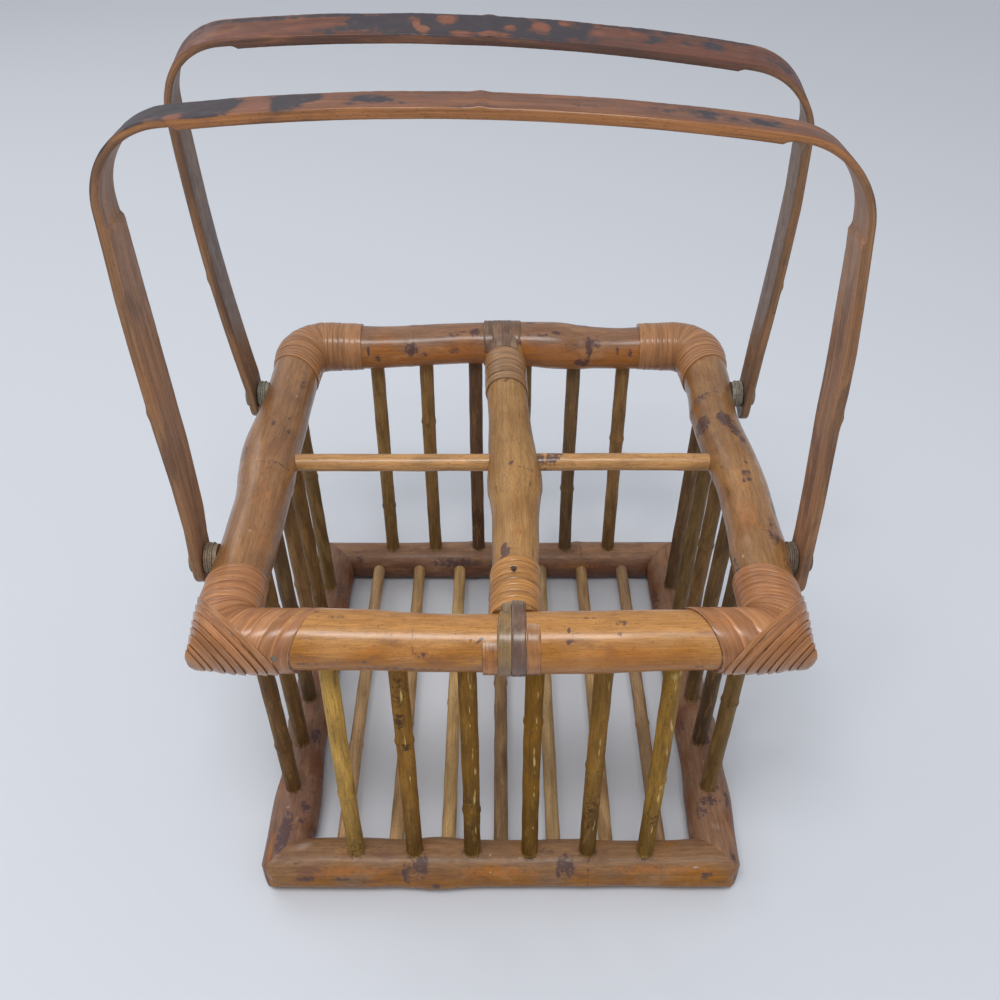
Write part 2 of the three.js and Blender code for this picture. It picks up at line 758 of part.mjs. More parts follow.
for (const handle of handles) {
  const strip = piece(`${handle.end}_handle`, handleStrip(handle), handleFinish);
  strip.position.set(0, handle.side * halfPivotSpread, topHeight);
  strip.rotation.x = handle.side * THREE.MathUtils.degToRad(handle.lean);
}

// A round-headed bolt, its tip at zero and its head at the far end
function bolt() {
  const shank = boltSeat - boltTip;
  const dome = boltHeadRadius * Math.SQRT1_2;
  const profile = [
    [0, 0],
    [boltRadius, 0],
    [boltRadius, shank],
    [boltHeadRadius, shank],
    [boltHeadRadius, shank + boltHeadHeight / 4],
    [dome, shank + boltHeadHeight * 0.8],
    [0, shank + boltHeadHeight],
  ];
  const points = profile.map(([radius, height]) => new THREE.Vector2(radius, height));
  return new THREE.LatheGeometry(points, fastenerSides);
}

// A stack of washers, parted by shallow grooves
function washers() {
  const bore = boltRadius + jointGap;
  const points = [new THREE.Vector2(bore, 0)];
  for (let number = 0; number < washerCount; number++) {
    const low = number * washerThickness;
    const high = low + washerThickness;
    const groove = washerGroove / 2;
    if (number > 0) points.push(new THREE.Vector2(washerRadius - washerGroove, low));
    points.push(new THREE.Vector2(washerRadius, low + (number > 0 ? groove : 0)));
    points.push(new THREE.Vector2(washerRadius, high - (number + 1 < washerCount ? groove : 0)));
  }
  points.push(new THREE.Vector2(bore, stackLength), new THREE.Vector2(bore, 0));
  return new THREE.LatheGeometry(points, fastenerSides);
}

for (const { end, side } of handles) {
  const y = side * halfPivotSpread;
  for (const [hand, sideX] of [["left", -1], ["right", 1]]) {
    const tip = at(sideX * boltTip, y, topHeight);
    const stack = at(sideX * stackInner, y, topHeight);
    const outward = at(sideX * boltSeat, y, topHeight);
    piece(`${end}_${hand}_pivot_bolt`, lay(bolt(), tip, outward), metalFinish);
    piece(`${end}_${hand}_washers`, lay(washers(), stack, outward), metalFinish);
  }
}

// The origin lies under the middle of the overall box, which the swaying handles pull to the left
const overall = new THREE.Box3().setFromObject(basket, true);
basket.position.x = -(overall.min.x + overall.max.x) / 2;
basket.position.y = -(overall.min.y + overall.max.y) / 2;

export default basket;
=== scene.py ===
"""The looks of a cane basket for four wine bottles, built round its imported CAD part.

Lengths are in millimetres until a mesh is made. +X is to the right, +Y to the rear and +Z up.
"""

import math

import bmesh
import bpy
import numpy as np
from mathutils import Matrix, Vector

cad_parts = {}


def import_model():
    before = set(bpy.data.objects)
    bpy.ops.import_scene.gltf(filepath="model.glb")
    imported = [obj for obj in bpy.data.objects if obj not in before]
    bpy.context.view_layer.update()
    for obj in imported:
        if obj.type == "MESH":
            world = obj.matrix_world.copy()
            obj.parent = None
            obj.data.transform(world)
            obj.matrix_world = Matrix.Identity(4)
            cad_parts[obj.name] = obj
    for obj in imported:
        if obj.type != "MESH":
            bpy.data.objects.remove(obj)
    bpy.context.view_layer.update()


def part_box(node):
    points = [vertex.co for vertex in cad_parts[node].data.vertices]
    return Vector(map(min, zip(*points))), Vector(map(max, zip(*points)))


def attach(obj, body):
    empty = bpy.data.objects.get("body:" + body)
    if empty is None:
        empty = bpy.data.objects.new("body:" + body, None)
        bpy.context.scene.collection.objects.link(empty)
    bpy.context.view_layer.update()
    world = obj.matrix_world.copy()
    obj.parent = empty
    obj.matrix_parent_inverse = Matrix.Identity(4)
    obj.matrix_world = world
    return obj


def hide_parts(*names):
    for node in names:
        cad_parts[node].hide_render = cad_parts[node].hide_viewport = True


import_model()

MM = 0.001
TURN = 2 * math.pi

# Driving sizes of the CAD part
TOP_WIDTH, TOP_DEPTH, TOP_HEIGHT, TOP_RADIUS = 252.0, 256.0, 196.3, 14.0
ELBOW_RADIUS = 17.0
BOTTOM_WIDTH, BOTTOM_DEPTH, BOTTOM_RADIUS = 243.0, 253.0, 13.0
BOTTOM_TIP_ROUNDING, SANDED_DEPTH = 14.0, 0.6
CENTER_RADIUS, CENTER_OFFSET = 12.5, 5.0
CROSS_RADIUS, CROSS_OFFSET = 4.9, 5.0
ROD_RADIUS, SLAT_RADIUS = 4.6, 4.2
END_ROD_INSET, SIDE_ROD_INSET, RODS_PER_SIDE = 46.0, 43.0, 6
SLAT_INSET, SLAT_COUNT, SLAT_RISE = 31.5, 7, 1.0
SOCKET_DEPTH, SLAT_SOCKET_DEPTH = 9.0, 7.0
CANE_GAP = 0.3
PIVOT_INSET = 55.0
STRIP_WIDTH, STRIP_THICKNESS, PARED_THICKNESS = 21.0, 5.0, 3.6
HANDLE_BEND, HANDLE_CROWN = 36.0, math.radians(7.0)
SWAY_START = 12.0
# The pile of washers at a pivot, and the gap on either side of it and under the head of the bolt
PIVOT_STACK, JOINT_GAP = 4.2, 0.3
# How far the wound cane stands off a rail at most
CANE_TOP = 2.0

# How many points a ring of each kind of mesh has
POLE_COLUMNS, ROD_COLUMNS, WINDING_COLUMNS, TIP_COLUMNS, BOLT_COLUMNS, NAIL_COLUMNS = 60, 36, 72, 96, 40, 20
# Steps in a turn of cane and rows in a bend of a handle
TURN_STEPS, BEND_STEPS = 48, 34
# From row to row on a handle's legs, on its bar and on a strap
LEG_STEP, BAR_STEP, STRAP_STEP = 1.6, 1.5, 1.3
# How far apart pieces, and strips of one piece, lie in the pattern of their material
POLE_GRAIN, ROD_GRAIN, CANE_GRAIN, STRAP_GRAIN, HANDLE_GRAIN = 311, 97, 23.0, 31.0, 1000.0
# How far the second layer of a corner lies from the first in that pattern
TIP_GRAIN = 40
# The seed of each kind of piece, to which its number or its side is added
TOP_SEED, TOP_TONE_SEED, BOTTOM_SEED, CENTER_SEED = 1, 3, 11, 21
SPINDLE_SEED, SLAT_SEED, CROSS_SEED = 100, 200, 300
BINDING_SEED, TIP_SEED, REAR_BINDING_SEED, STRAP_SEED, PEEL_SEED = 40, 50, 60, 400, 700
TURN_SEED, WANDER_SEED, TURN_TONE_SEED = 70, 80, 90
# The angle in degrees from which an edge of each kind of mesh is sharp
CREASE, CANE_CREASE, STRAP_CREASE, HANDLE_CREASE, METAL_CREASE = 50.0, 38.0, 40.0, 60.0, 42.0

HALF_TOP_WIDTH, HALF_TOP_DEPTH = TOP_WIDTH / 2, TOP_DEPTH / 2
HALF_BOTTOM_WIDTH, HALF_BOTTOM_DEPTH = BOTTOM_WIDTH / 2, BOTTOM_DEPTH / 2
BOTTOM_HEIGHT = BOTTOM_RADIUS - SANDED_DEPTH
LEG_INNER = HALF_TOP_WIDTH + TOP_RADIUS + JOINT_GAP + PIVOT_STACK + JOINT_GAP
LEG_OUTER = LEG_INNER + STRIP_THICKNESS
PIVOT_SPREAD = HALF_TOP_DEPTH - PIVOT_INSET

# The swaying handles put the middle of the whole part a little to the left of the basket's own
low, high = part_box("bottom_front_rail")
BASKET_X = (low.x + high.x) / 2 / MM


# Numbers and fields


def linear(red, green, blue):
    """An sRGB colour, 0 to 255, as linear light."""
    values = np.array([red, green, blue], float) / 255
    return np.where(values <= 0.04045, values / 12.92, ((values + 0.055) / 1.055) ** 2.4)


def ease(values, start=0.0, end=1.0):
    """0 before start, 1 after end and smooth between."""
    share = np.clip((np.asarray(values, float) - start) / (end - start), 0, 1)
    return share * share * (3 - 2 * share)


def ripple(along, angle, seed, reach=70.0, waves=7):
    """A smooth random field on a pole, about -1 to 1, that closes round it."""
    chance = np.random.default_rng(seed)
    total = np.zeros(np.broadcast(along, angle).shape)
    for _ in range(waves):
        rate = TURN / reach * chance.uniform(0.4, 2.2) * chance.choice([-1, 1])
        turns = chance.integers(0, 4)
        total += np.sin(along * rate + turns * angle + chance.uniform(0, TURN))
    return total / math.sqrt(waves / 2) / 2


def mark_field(along, angle, radius, marks):
    """Burn, pale and warm marks on a pole, as three channels. The burn channel also holds painted shade, the
    pale one a few painted highlights.

    A mark is (place along, angle in degrees, half length, half width, channel, strength)."""
    field = np.zeros(np.broadcast(along, angle).shape + (3,))
    for place, degrees, length, width, channel, strength in marks:
        apart = (angle - math.radians(degrees) + math.pi) % TURN - math.pi
        spread = ((along - place) / length) ** 2 + (apart * radius / width) ** 2
        field[..., channel] = np.maximum(field[..., channel], strength * np.exp(-spread))
    return field


# Mark channels: the burn one also holds painted shade, the pale one a few painted highlights
BURN_AND_SHADE, PALE, WARM = 0, 1, 2


def marked(**kinds):
    """One list of marks from the lists for burn, pale and warm, in which the strength comes last."""
    channels = dict(burn=BURN_AND_SHADE, pale=PALE, warm=WARM)
    return [(*row[:4], channels[kind], row[4]) for kind, rows in kinds.items() for row in rows]


# Meshes


def placed(name, data):
    """A new object in the scene."""
    made = bpy.data.objects.new(name, data)
    bpy.context.scene.collection.objects.link(made)
    return made


def write_vectors(mesh, name, kind, values):
    """A vector or a colour for each point of a mesh."""
    attribute = mesh.attributes.new(name, kind, "POINT")
    key = "vector" if kind == "FLOAT_VECTOR" else "color"
    attribute.data.foreach_set(key, np.asarray(values, np.float32).ravel())


def with_alpha(values):
    """Colours with an alpha of 1."""
    return np.concatenate([values, np.ones(values.shape[:-1] + (1,))], axis=-1)


def skin(name, rings, grain, paint, marks, material, crease=CREASE):
    """A closed mesh through rings of points, each end shut by a fan.

    grain, paint and marks give each point its place in the fibre, its colour and its marks."""
    rows, columns = rings.shape[:2]
    paint = np.broadcast_to(paint, rings.shape)
    marks = np.broadcast_to(marks, rings.shape)
    fields = [rings * MM, grain, paint, marks]
    points, grain, paint, marks = [
        np.concatenate([field.reshape(-1, 3), field[0].mean(0)[None], field[-1].mean(0)[None]])
        for field in fields
    ]
    row, column = np.meshgrid(np.arange(rows - 1), np.arange(columns), indexing="ij")
    here, beside = row * columns + column, row * columns + (column + 1) % columns
    quads = np.stack([here, beside, beside + columns, here + columns], -1).reshape(-1, 4)
    first, last = rows * columns, rows * columns + 1
    faces = quads.tolist()
    for c in range(columns):
        faces.append([(c + 1) % columns, c, first])
        faces.append([last - 1 - columns + c, last - 1 - columns + (c + 1) % columns, last])
    mesh = bpy.data.meshes.new(name)
    mesh.from_pydata(points.tolist(), [], faces)
    write_vectors(mesh, "grain", "FLOAT_VECTOR", grain)
    write_vectors(mesh, "paint", "FLOAT_COLOR", with_alpha(paint))
    write_vectors(mesh, "marks", "FLOAT_COLOR", with_alpha(marks))
    return finished(name, mesh, material, crease)


def finished(name, mesh, material, crease):
    """A mesh with its faces turned out and smooth, as an object."""
    shape = bmesh.new()
    shape.from_mesh(mesh)
    bmesh.ops.recalc_face_normals(shape, faces=shape.faces)
    if shape.calc_volume(signed=True) < 0:
        bmesh.ops.reverse_faces(shape, faces=shape.faces)
    shape.to_mesh(mesh)
    shape.free()
    mesh.polygons.foreach_set("use_smooth", [True] * len(mesh.polygons))
    mesh.set_sharp_from_angle(angle=math.radians(crease))
    mesh.materials.append(material)
    return placed(name, mesh)


def seat(piece, body, slot, *nodes):
    """The piece rides on its body and stands for the CAD nodes."""
    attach(piece, body)
    if nodes:
        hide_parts(*nodes)
    return piece


# Materials


def shader_nodes(name):
    """A new material with its node tree and its shader."""
    material = bpy.data.materials.new(name)
    material.use_nodes = True
    tree = material.node_tree
    return material, tree, tree.nodes["Principled BSDF"]


class Graph:
    """Short calls for the nodes of one material."""

    def __init__(self, tree):
        self.tree = tree

    def node(self, kind, **settings):
        made = self.tree.nodes.new(kind)
        for key, value in settings.items():
            setattr(made, key, value)
        return made

    def join(self, source, target):
        self.tree.links.new(source, target)

    def attribute(self, name, output):
        return self.node("ShaderNodeAttribute", attribute_name=name).outputs[output]

    def scaled(self, vector, scale):
        mapping = self.node("ShaderNodeMapping")
        mapping.inputs["Scale"].default_value = scale
        self.join(vector, mapping.inputs["Vector"])
        return mapping.outputs["Vector"]

    def noise(self, vector, scale, detail=3.0, roughness=0.55, distortion=0.0):
        made = self.node("ShaderNodeTexNoise")
        settings = dict(Scale=scale, Detail=detail, Roughness=roughness, Distortion=distortion)
        for key, value in settings.items():
            made.inputs[key].default_value = value
        self.join(vector, made.inputs["Vector"])
        return made.outputs["Fac"]

    def math(self, operation, first, second=None, third=None):
        made = self.node("ShaderNodeMath", operation=operation)
        for socket, value in zip(made.inputs, (first, second, third)):
            if isinstance(value, (int, float)):
                socket.default_value = value
            elif value is not None:
                self.join(value, socket)
        return made.outputs[0]

    def range(self, value, low, high, new_low=0.0, new_high=1.0):
        made = self.node("ShaderNodeMapRange", interpolation_type="SMOOTHSTEP")
        self.join(value, made.inputs["Value"])
        for socket, number in zip(made.inputs[1:5], (low, high, new_low, new_high)):
            socket.default_value = number
        return made.outputs["Result"]

    def mix(self, share, first, second, blend="MIX"):
        made = self.node("ShaderNodeMix", data_type="RGBA", blend_type=blend)
        colours = [socket for socket in made.inputs if socket.type == "RGBA"]
        if isinstance(share, (int, float)):
            made.inputs["Factor"].default_value = share
        else:
            self.join(share, made.inputs["Factor"])
        for socket, value in zip(colours, (first, second)):
            if isinstance(value, bpy.types.NodeSocket):
                self.join(value, socket)
            else:
                socket.default_value = (*value, 1)
        return next(socket for socket in made.outputs if socket.type == "RGBA")

    def bump(self, shader, height, strength):
        """Raise the surface by a height in millimetres."""
        made = self.node("ShaderNodeBump")
        made.inputs["Distance"].default_value = MM
        made.inputs["Strength"].default_value = strength
        self.join(height, made.inputs["Height"])
        self.join(made.outputs["Normal"], shader.inputs["Normal"])

    def brighten(self, colour, factor):
        """A colour times a grey factor."""
        grey = self.node("ShaderNodeCombineColor")
        for socket in grey.inputs:
            self.join(factor, socket)
        return self.mix(1.0, colour, grey.outputs[0], "MULTIPLY")


def fibre_material(name, look):
    """Cane, rod or strip: fine fibres, blotches, burns and painted shade, dust and a few painted highlights,
    specks and varnish.

    The first number of a grain place runs across the strips and along the poles."""
    material, tree, shader = shader_nodes(name)
    g = Graph(tree)
    grain = g.attribute("grain", "Vector")
    paint = g.attribute("paint", "Color")
    marks = g.node("ShaderNodeSeparateColor")
    g.join(g.attribute("marks", "Color"), marks.inputs[0])
    burn, pale, warm = marks.outputs

    fibres = g.noise(g.scaled(grain, look["fibre"]), 1.0, 4.0, 0.65)
    strands = g.noise(g.scaled(grain, look["strand"]), 1.0, 2.0, 0.5, 0.4)
    blotches = g.noise(g.scaled(grain, look["blotch"]), 1.0, 3.0, 0.6, 0.6)
    mottle = g.noise(grain, look["mottle"], 3.0, 0.6)
    specks = g.noise(g.scaled(grain, look["speck"]), 1.0, 1.0, 0.5)

    colour = g.brighten(paint, g.range(fibres, 0.28, 0.72, *look["fibre_tone"]))
    colour = g.brighten(colour, g.range(strands, 0.3, 0.7, *look["strand_tone"]))
    colour = g.mix(g.range(blotches, *look["dark_span"], 0, look["dark_share"]), colour, look["dark"])
    colour = g.mix(g.range(blotches, *look["light_span"], 0, look["light_share"]), colour, look["light"])
    ragged = g.range(mottle, 0.3, 0.7, 0.5, 1.45)
    warm_edge = g.math("MULTIPLY", warm, ragged)
    colour = g.mix(g.range(warm_edge, 0.2, 0.7, 0, look["warm_share"]), colour, look["warm"])
    burn_and_shade = g.range(g.math("MULTIPLY", burn, ragged), *look["burn_span"])
    colour = g.mix(g.math("MULTIPLY", burn_and_shade, look["burn_share"]), colour, look["burn"])
    speck = g.range(specks, *look["speck_span"], 0, look["speck_share"])
    colour = g.mix(speck, colour, look["speck_colour"])
    # The pale channel paints dust and pale wear, and also a few painted highlights
    pale_amount = g.range(g.math("ADD", pale, g.math("MULTIPLY_ADD", fibres, 0.9, -0.45)), 0.35, 0.8)
    colour = g.mix(g.math("MULTIPLY", pale_amount, look["pale_share"]), colour, look["pale"])
    g.join(colour, shader.inputs["Base Color"])

    rough = g.range(mottle, 0.3, 0.7, *look["rough"])
    rough = g.math("MULTIPLY_ADD", burn_and_shade, 0.12, rough)
    rough = g.math("MULTIPLY_ADD", pale_amount, 0.25, rough)
    g.join(rough, shader.inputs["Roughness"])

    height = g.math("MULTIPLY_ADD", fibres, look["fibre_height"], 0.0)
    height = g.math("MULTIPLY_ADD", strands, look["strand_height"], height)
    height = g.math("MULTIPLY_ADD", mottle, look["mottle_height"], height)
    height = g.math("MULTIPLY_ADD", speck, -0.05, height)
    g.bump(shader, height, look["bump"])
    shader.inputs["Specular IOR Level"].default_value = look["specular"]
    shader.inputs["Coat Weight"].default_value = look["coat"]
    shader.inputs["Coat Roughness"].default_value = look["coat_rough"]
    return material


# The varnished pole's look, from which the others differ
BASE_LOOK = dict(
    fibre=(0.1, 2.6, 2.6), strand=(0.03, 0.6, 0.6), blotch=(0.045, 0.12, 0.12), mottle=0.4,
    speck=(0.5, 1.8, 1.8), fibre_tone=(0.76, 1.2), strand_tone=(0.86, 1.12), dark_span=(0.52, 0.72),
    dark_share=0.5, dark=linear(116, 72, 42), light_span=(0.48, 0.3), light_share=0.28,
    light=linear(200, 146, 88), warm=linear(178, 108, 44), warm_share=0.5, burn=linear(74, 50, 52),
    burn_span=(0.24, 0.58), burn_share=0.85, speck_span=(0.63, 0.72), speck_share=0.45,
    speck_colour=linear(84, 50, 30), pale=linear(196, 178, 158), pale_share=0.75, rough=(0.34, 0.5),
    fibre_height=0.1, strand_height=0.1, mottle_height=0.12, bump=0.5, coat=0.68, coat_rough=0.24,
    specular=0.18,
)

CANE_FIBRE = dict(fibre=(2.6, 0.05, 0.05), strand=(0.8, 0.03, 0.03), blotch=(0.16, 0.06, 0.06))

# Each fibre material: its name and how its look differs from the varnished pole's
LOOKS = {
    "top_pole": ("varnished_top_pole", {}),
    "center_pole": (
        "satin_center_pole",
        dict(
            mottle=0.34, rough=(0.34, 0.52), coat=0.12, dark=linear(120, 84, 66), dark_share=0.4,
            light=linear(196, 152, 102), burn=linear(88, 66, 70),
        ),
    ),
    "bottom_pole": (
        "dusty_bottom_pole",
        dict(
            rough=(0.36, 0.56), coat=0.12, dark=linear(104, 66, 56), light=linear(186, 136, 96),
            burn=linear(78, 60, 63), pale=linear(178, 158, 150),
        ),
    ),
    "rod": (
        "olive_rod",
        dict(
            fibre=(0.05, 3.2, 3.2), strand=(0.03, 0.9, 0.9), blotch=(0.06, 0.3, 0.3), mottle=0.5,
            dark=linear(84, 58, 32), dark_share=0.5, light=linear(178, 140, 76), burn=linear(66, 46, 34),
            pale=linear(208, 178, 112), pale_share=0.9, rough=(0.4, 0.6), coat=0.0, specular=0.12,
            speck_share=0.55, speck_colour=linear(62, 42, 20),
        ),
    ),
    "cross_rod": (
        "satin_cross_rod",
        dict(
            fibre=(0.12, 3.2, 3.2), strand=(0.03, 0.9, 0.9), blotch=(0.12, 0.3, 0.3), mottle=0.6,
            dark=linear(140, 96, 56), dark_share=0.45, light=linear(212, 168, 112), rough=(0.32, 0.48),
            coat=0.62, specular=0.24,
        ),
    ),
    "slat": (
        "bare_slat",
        dict(
            fibre=(0.05, 3.0, 3.0), blotch=(0.05, 0.25, 0.25), mottle=0.5, dark=linear(132, 92, 62),
            light=linear(206, 168, 130), rough=(0.45, 0.65), coat=0.0, specular=0.2,
        ),
    ),
    "cane": (
        "split_cane",
        dict(
            **CANE_FIBRE, speck=(1.2, 0.5, 0.5), mottle=0.22, dark=linear(116, 76, 58), dark_share=0.35,
            light=linear(204, 150, 104), fibre_tone=(0.72, 1.24), strand_tone=(0.78, 1.18),
            fibre_height=0.2, rough=(0.36, 0.52), speck_span=(0.72, 0.8),
        ),
    ),
    "strap": (
        "strap_cane",
        dict(
            **CANE_FIBRE, mottle=0.4, dark=linear(84, 66, 60), light=linear(176, 156, 128),
            rough=(0.34, 0.5), fibre_height=0.2,
        ),
    ),
    "handle": (
        "smoked_bamboo",
        dict(
            fibre=(0.02, 2.2, 2.2), strand=(0.012, 0.7, 0.7), blotch=(0.022, 0.1, 0.1), mottle=0.16,
            dark=linear(78, 58, 54), dark_span=(0.5, 0.66), dark_share=0.45, light=linear(168, 112, 70),
            light_share=0.4, burn=linear(56, 54, 61), burn_span=(0.16, 0.7), burn_share=0.95,
            fibre_tone=(0.68, 1.26), warm=linear(132, 82, 64), warm_share=0.75, fibre_height=0.22,
            strand_height=0.3, rough=(0.42, 0.58), coat=0.16, specular=0.26,
        ),
    ),
}


def metal_material():
    """Dull, weathered steel with turning marks."""
    material, tree, shader = shader_nodes("weathered_steel")
    g = Graph(tree)
    grain = g.attribute("grain", "Vector")
    stain = g.noise(grain, 0.5, 4.0, 0.6, 0.5)
    lines = g.noise(g.scaled(grain, (3.0, 0.4, 0.4)), 1.0, 2.0)
    colour = g.mix(g.range(stain, 0.4, 0.65), linear(162, 156, 144), linear(134, 126, 114))
    colour = g.mix(g.range(stain, 0.6, 0.74, 0, 0.6), colour, linear(112, 88, 68))
    colour = g.mix(1.0, colour, g.attribute("paint", "Color"), "MULTIPLY")
    g.join(colour, shader.inputs["Base Color"])
    g.join(g.range(stain, 0.3, 0.7, 0.55, 0.75), shader.inputs["Roughness"])
    g.bump(shader, g.math("MULTIPLY_ADD", lines, 0.08, g.math("MULTIPLY", stain, 0.1)), 0.4)
    shader.inputs["Metallic"].default_value = 0.25
    return material


MATERIALS = {
    slot: fibre_material(name, {**BASE_LOOK, **changes}) for slot, (name, changes) in LOOKS.items()
}
MATERIALS["metal"] = metal_material()


# Poles

# Marks on the poles: place along, angle, half length, half width and strength. Their places were
# found in the photograph, worked out on the poles with its fitted camera and then adjusted
FRONT_MARKS = marked(
    burn=[
        (-73, 92, 6.3, 1.9, 0.5), (-82, 107, 1.4, 1, 0.7), (-67, 92, 1.3, 0.9, 0.6),
        (-48, 58, 1.3, 1.9, 0.5), (-46, 48, 1.3, 1.4, 0.55), (-34, 20, 6.2, 2.3, 0.55),
        (-60, 2, 5.4, 1.4, 0.55), (-45, -17, 31.6, 1.2, 0.6), (-14, 51, 0.9, 0.7, 1),
        (-13, 55, 0.7, 0.7, 1), (-11, 48, 0.9, 0.7, 1), (-9, 53, 0.7, 0.7, 1), (-7, 39, 0.7, 11.1, 0.55),
        (-39, 48, 0.7, 11.2, 0.4), (30, 69, 1.3, 1.4, 0.8), (30, 47, 1.8, 1.2, 0.85),
        (31, 58, 0.7, 2.3, 0.65), (39, 96, 4.5, 1.2, 0.5), (53, 81, 4, 1.9, 0.55),
        (52, 58, 1.3, 2.3, 0.55), (88, -14, 2.7, 1.4, 0.65), (32, 46, 11.5, 0.7, 0.4),
        (69, 33, 10.7, 0.7, 0.4), (-86, -6, 6.4, 1.9, 0.6), (-27, 86, 13.4, 0.7, 0.35),
    ],
    pale=[(-85, 44, 5.4, 10.4, 0.42), (-6, 48, 2.2, 1.2, 0.95), (62, 47, 5.3, 2.8, 0.38)],
    warm=[(-44, 26, 33.3, 4.2, 0.7), (52, 20, 35.7, 5.6, 0.65)],
)
REAR_MARKS = marked(
    burn=[
        (-83, 157, 1, 6.1, 0.85), (-77, -178, 3.2, 2.7, 0.65), (-56, 160, 4.5, 4.7, 0.95),
        (-48, 176, 3.2, 2.7, 0.5), (-29, 124, 7.7, 2, 0.5), (-29, 171, 5.1, 2.7, 0.6),
        (-38, 176, 3.8, 1.3, 0.45), (-16, 118, 3.2, 3.4, 1), (-24, 115, 2.6, 1.3, 0.6),
        (19, 81, 6.5, 2, 0.55), (25, 124, 2.6, 1, 1), (30, 124, 2.6, 1, 0.9), (35, 118, 3.2, 1.3, 1),
        # The burn at 12 along and 153 degrees, beside the rear strap, is the strap's painted shadow
        (17, 127, 1.9, 2, 0.55), (12, 153, 1.9, 4, 0.7), (45, 150, 6.4, 4, 0.45), (56, 145, 2.2, 8, 0.9),
        (52, -167, 5.8, 3.4, 0.85), (61, 137, 2.6, 4, 0.65), (82, 163, 1.9, 2.7, 0.8),
        (74, 158, 1.9, 5.4, 0.5), (89, 150, 2.6, 2, 0.45), (83, -155, 7.8, 2, 0.4),
    ],
    warm=[
        (-29, 177, 38.3, 5.4, 0.7), (28, 171, 23, 6.7, 0.8), (73, 180, 12.8, 4, 0.65),
        (-60, -174, 15.4, 2.7, 0.6),
    ],
)
LEFT_MARKS = marked(
    burn=[
        (67, 132, 8.3, 3.6, 0.5), (30, 126, 2.8, 1.7, 0.65), (21, 97, 4.6, 1.7, 0.55),
        (17, 133, 3.6, 1.7, 0.7), (1, 47, 6.9, 3.3, 0.4), (-14, 104, 3.3, 18.4, 0.34),
        (1, -162, 8.7, 3.4, 0.5), (-31, -162, 23.8, 2.1, 0.45),
    ],
    pale=[
        (53, 126, 1.5, 0.9, 0.95), (-16, 22, 6.6, 1.6, 0.8), (-27, 117, 6.4, 8.5, 0.3),
        (-65, 149, 2.9, 2, 0.4), (-68, 104, 1.4, 0.8, 1), (-46, 57, 12.1, 2.1, 0.4),
    ],
    warm=[(-71, 134, 9.9, 6, 0.45), (-40, 109, 17, 7.3, 0.4)],
)
RIGHT_MARKS = marked(
    burn=[
        (53, 125, 4, 8.3, 0.5), (28, 87, 7.5, 4.6, 1), (19, 75, 7.5, 3.2, 1), (10, 65, 4.4, 2.2, 0.8),
        (30, 147, 7.5, 5.6, 0.9), (29, 174, 3.7, 2.9, 0.75), (-12, 85, 2.1, 1.1, 0.8),
        (-21, 98, 2, 1.1, 0.85), (-21, 86, 2, 1.1, 0.85), (-28, 101, 2, 1.1, 0.85),
        (-27, 88, 2, 1.1, 0.85), (-25, 94, 4.8, 3.2, 0.45), (-45, 36, 7.6, 2.1, 0.85),
        (-73, 68, 6.3, 3.5, 0.7), (-62, 65, 5.8, 2, 0.5), (-30, 145, 9.6, 2.7, 0.4),
        (-11, 143, 5, 2.7, 0.4), (-80, 164, 3.4, 1.2, 1), (-86, 162, 3.4, 3, 0.6), (-88, 48, 6.7, 3, 0.45),
    ],
    pale=[
        (-9, 49, 10.1, 4.9, 0.55), (-26, 56, 9.7, 3.2, 0.55), (-39, 56, 6.2, 2.6, 0.45),
        # The two small pale marks at -82 along are painted glints of highlight
        (-82, 140, 1.4, 1.5, 0.95), (-82, 124, 1, 1, 0.95),
    ],
    warm=[(-55, 115, 19.2, 8.2, 0.55), (-3, 91, 6.9, 6.6, 0.35), (45, 143, 5.9, 7.1, 0.5)],
)
CENTER_MARKS = marked(
    burn=[
        (69, 92, 3.2, 5.4, 0.45), (-15, 98, 3.5, 2.1, 0.6), (-29, 140, 5.8, 1.6, 0.6),
        (-29, 53, 1.7, 1.6, 0.6), (23, 23, 5.7, 2.2, 0.5), (-79, 116, 6.4, 2.9, 1),
        (-84, 121, 2.8, 2.4, 0.95), (-78, 40, 5, 0.7, 0.6), (-12, 3, 12.2, 2.2, 0.4),
    ],
    pale=[(9, 94, 27.6, 4.4, 0.2)],
    warm=[(-66, 81, 14.9, 5.9, 0.4)],
)
BOTTOM_FRONT_MARKS = marked(
    burn=[
        (-111, 57, 13.1, 0.9, 0.6), (-106, 16, 6, 1.9, 0.7), (-88, 16, 8.3, 1.9, 0.6),
        (-75, 9, 5.9, 1.2, 0.5), (-53, 30, 1.5, 6.2, 1), (-44, 52, 5.9, 8.6, 0.75),
        (-36, -4, 3.6, 3.1, 0.75), (36, 47, 5.3, 8.6, 0.72), (31, 42, 0.9, 7.4, 0.85),
        (25, 90, 8.8, 3.1, 0.4), (-17, 15, 14.7, 0.9, 0.45), (77, 21, 17.8, 0.9, 0.45),
        (110, 26, 3, 2.5, 0.9), (119, 3, 3.6, 2.5, 0.4),
    ],
    pale=[
        (-112, 103, 9.6, 5, 0.6), (-121, 73, 4.2, 3.1, 0.5), (-60, 73, 5.9, 1.9, 0.45),
        (-6, 77, 0.9, 1, 1), (1, 70, 0.9, 1, 1), (10, 70, 1.2, 1, 1), (6, 51, 0.8, 0.7, 1),
        (-6, 37, 0.8, 0.7, 1), (-46, 37, 0.8, 0.7, 1), (105, 49, 1.8, 0.9, 0.95),
        (78, 108, 9.5, 2.5, 0.35), (-12, 105, 14.2, 2.5, 0.3),
    ],
    warm=[(-83, 38, 23.7, 3.7, 0.7), (-1, 37, 29.3, 4.3, 0.65), (82, 42, 29.6, 3.7, 0.6)],
)
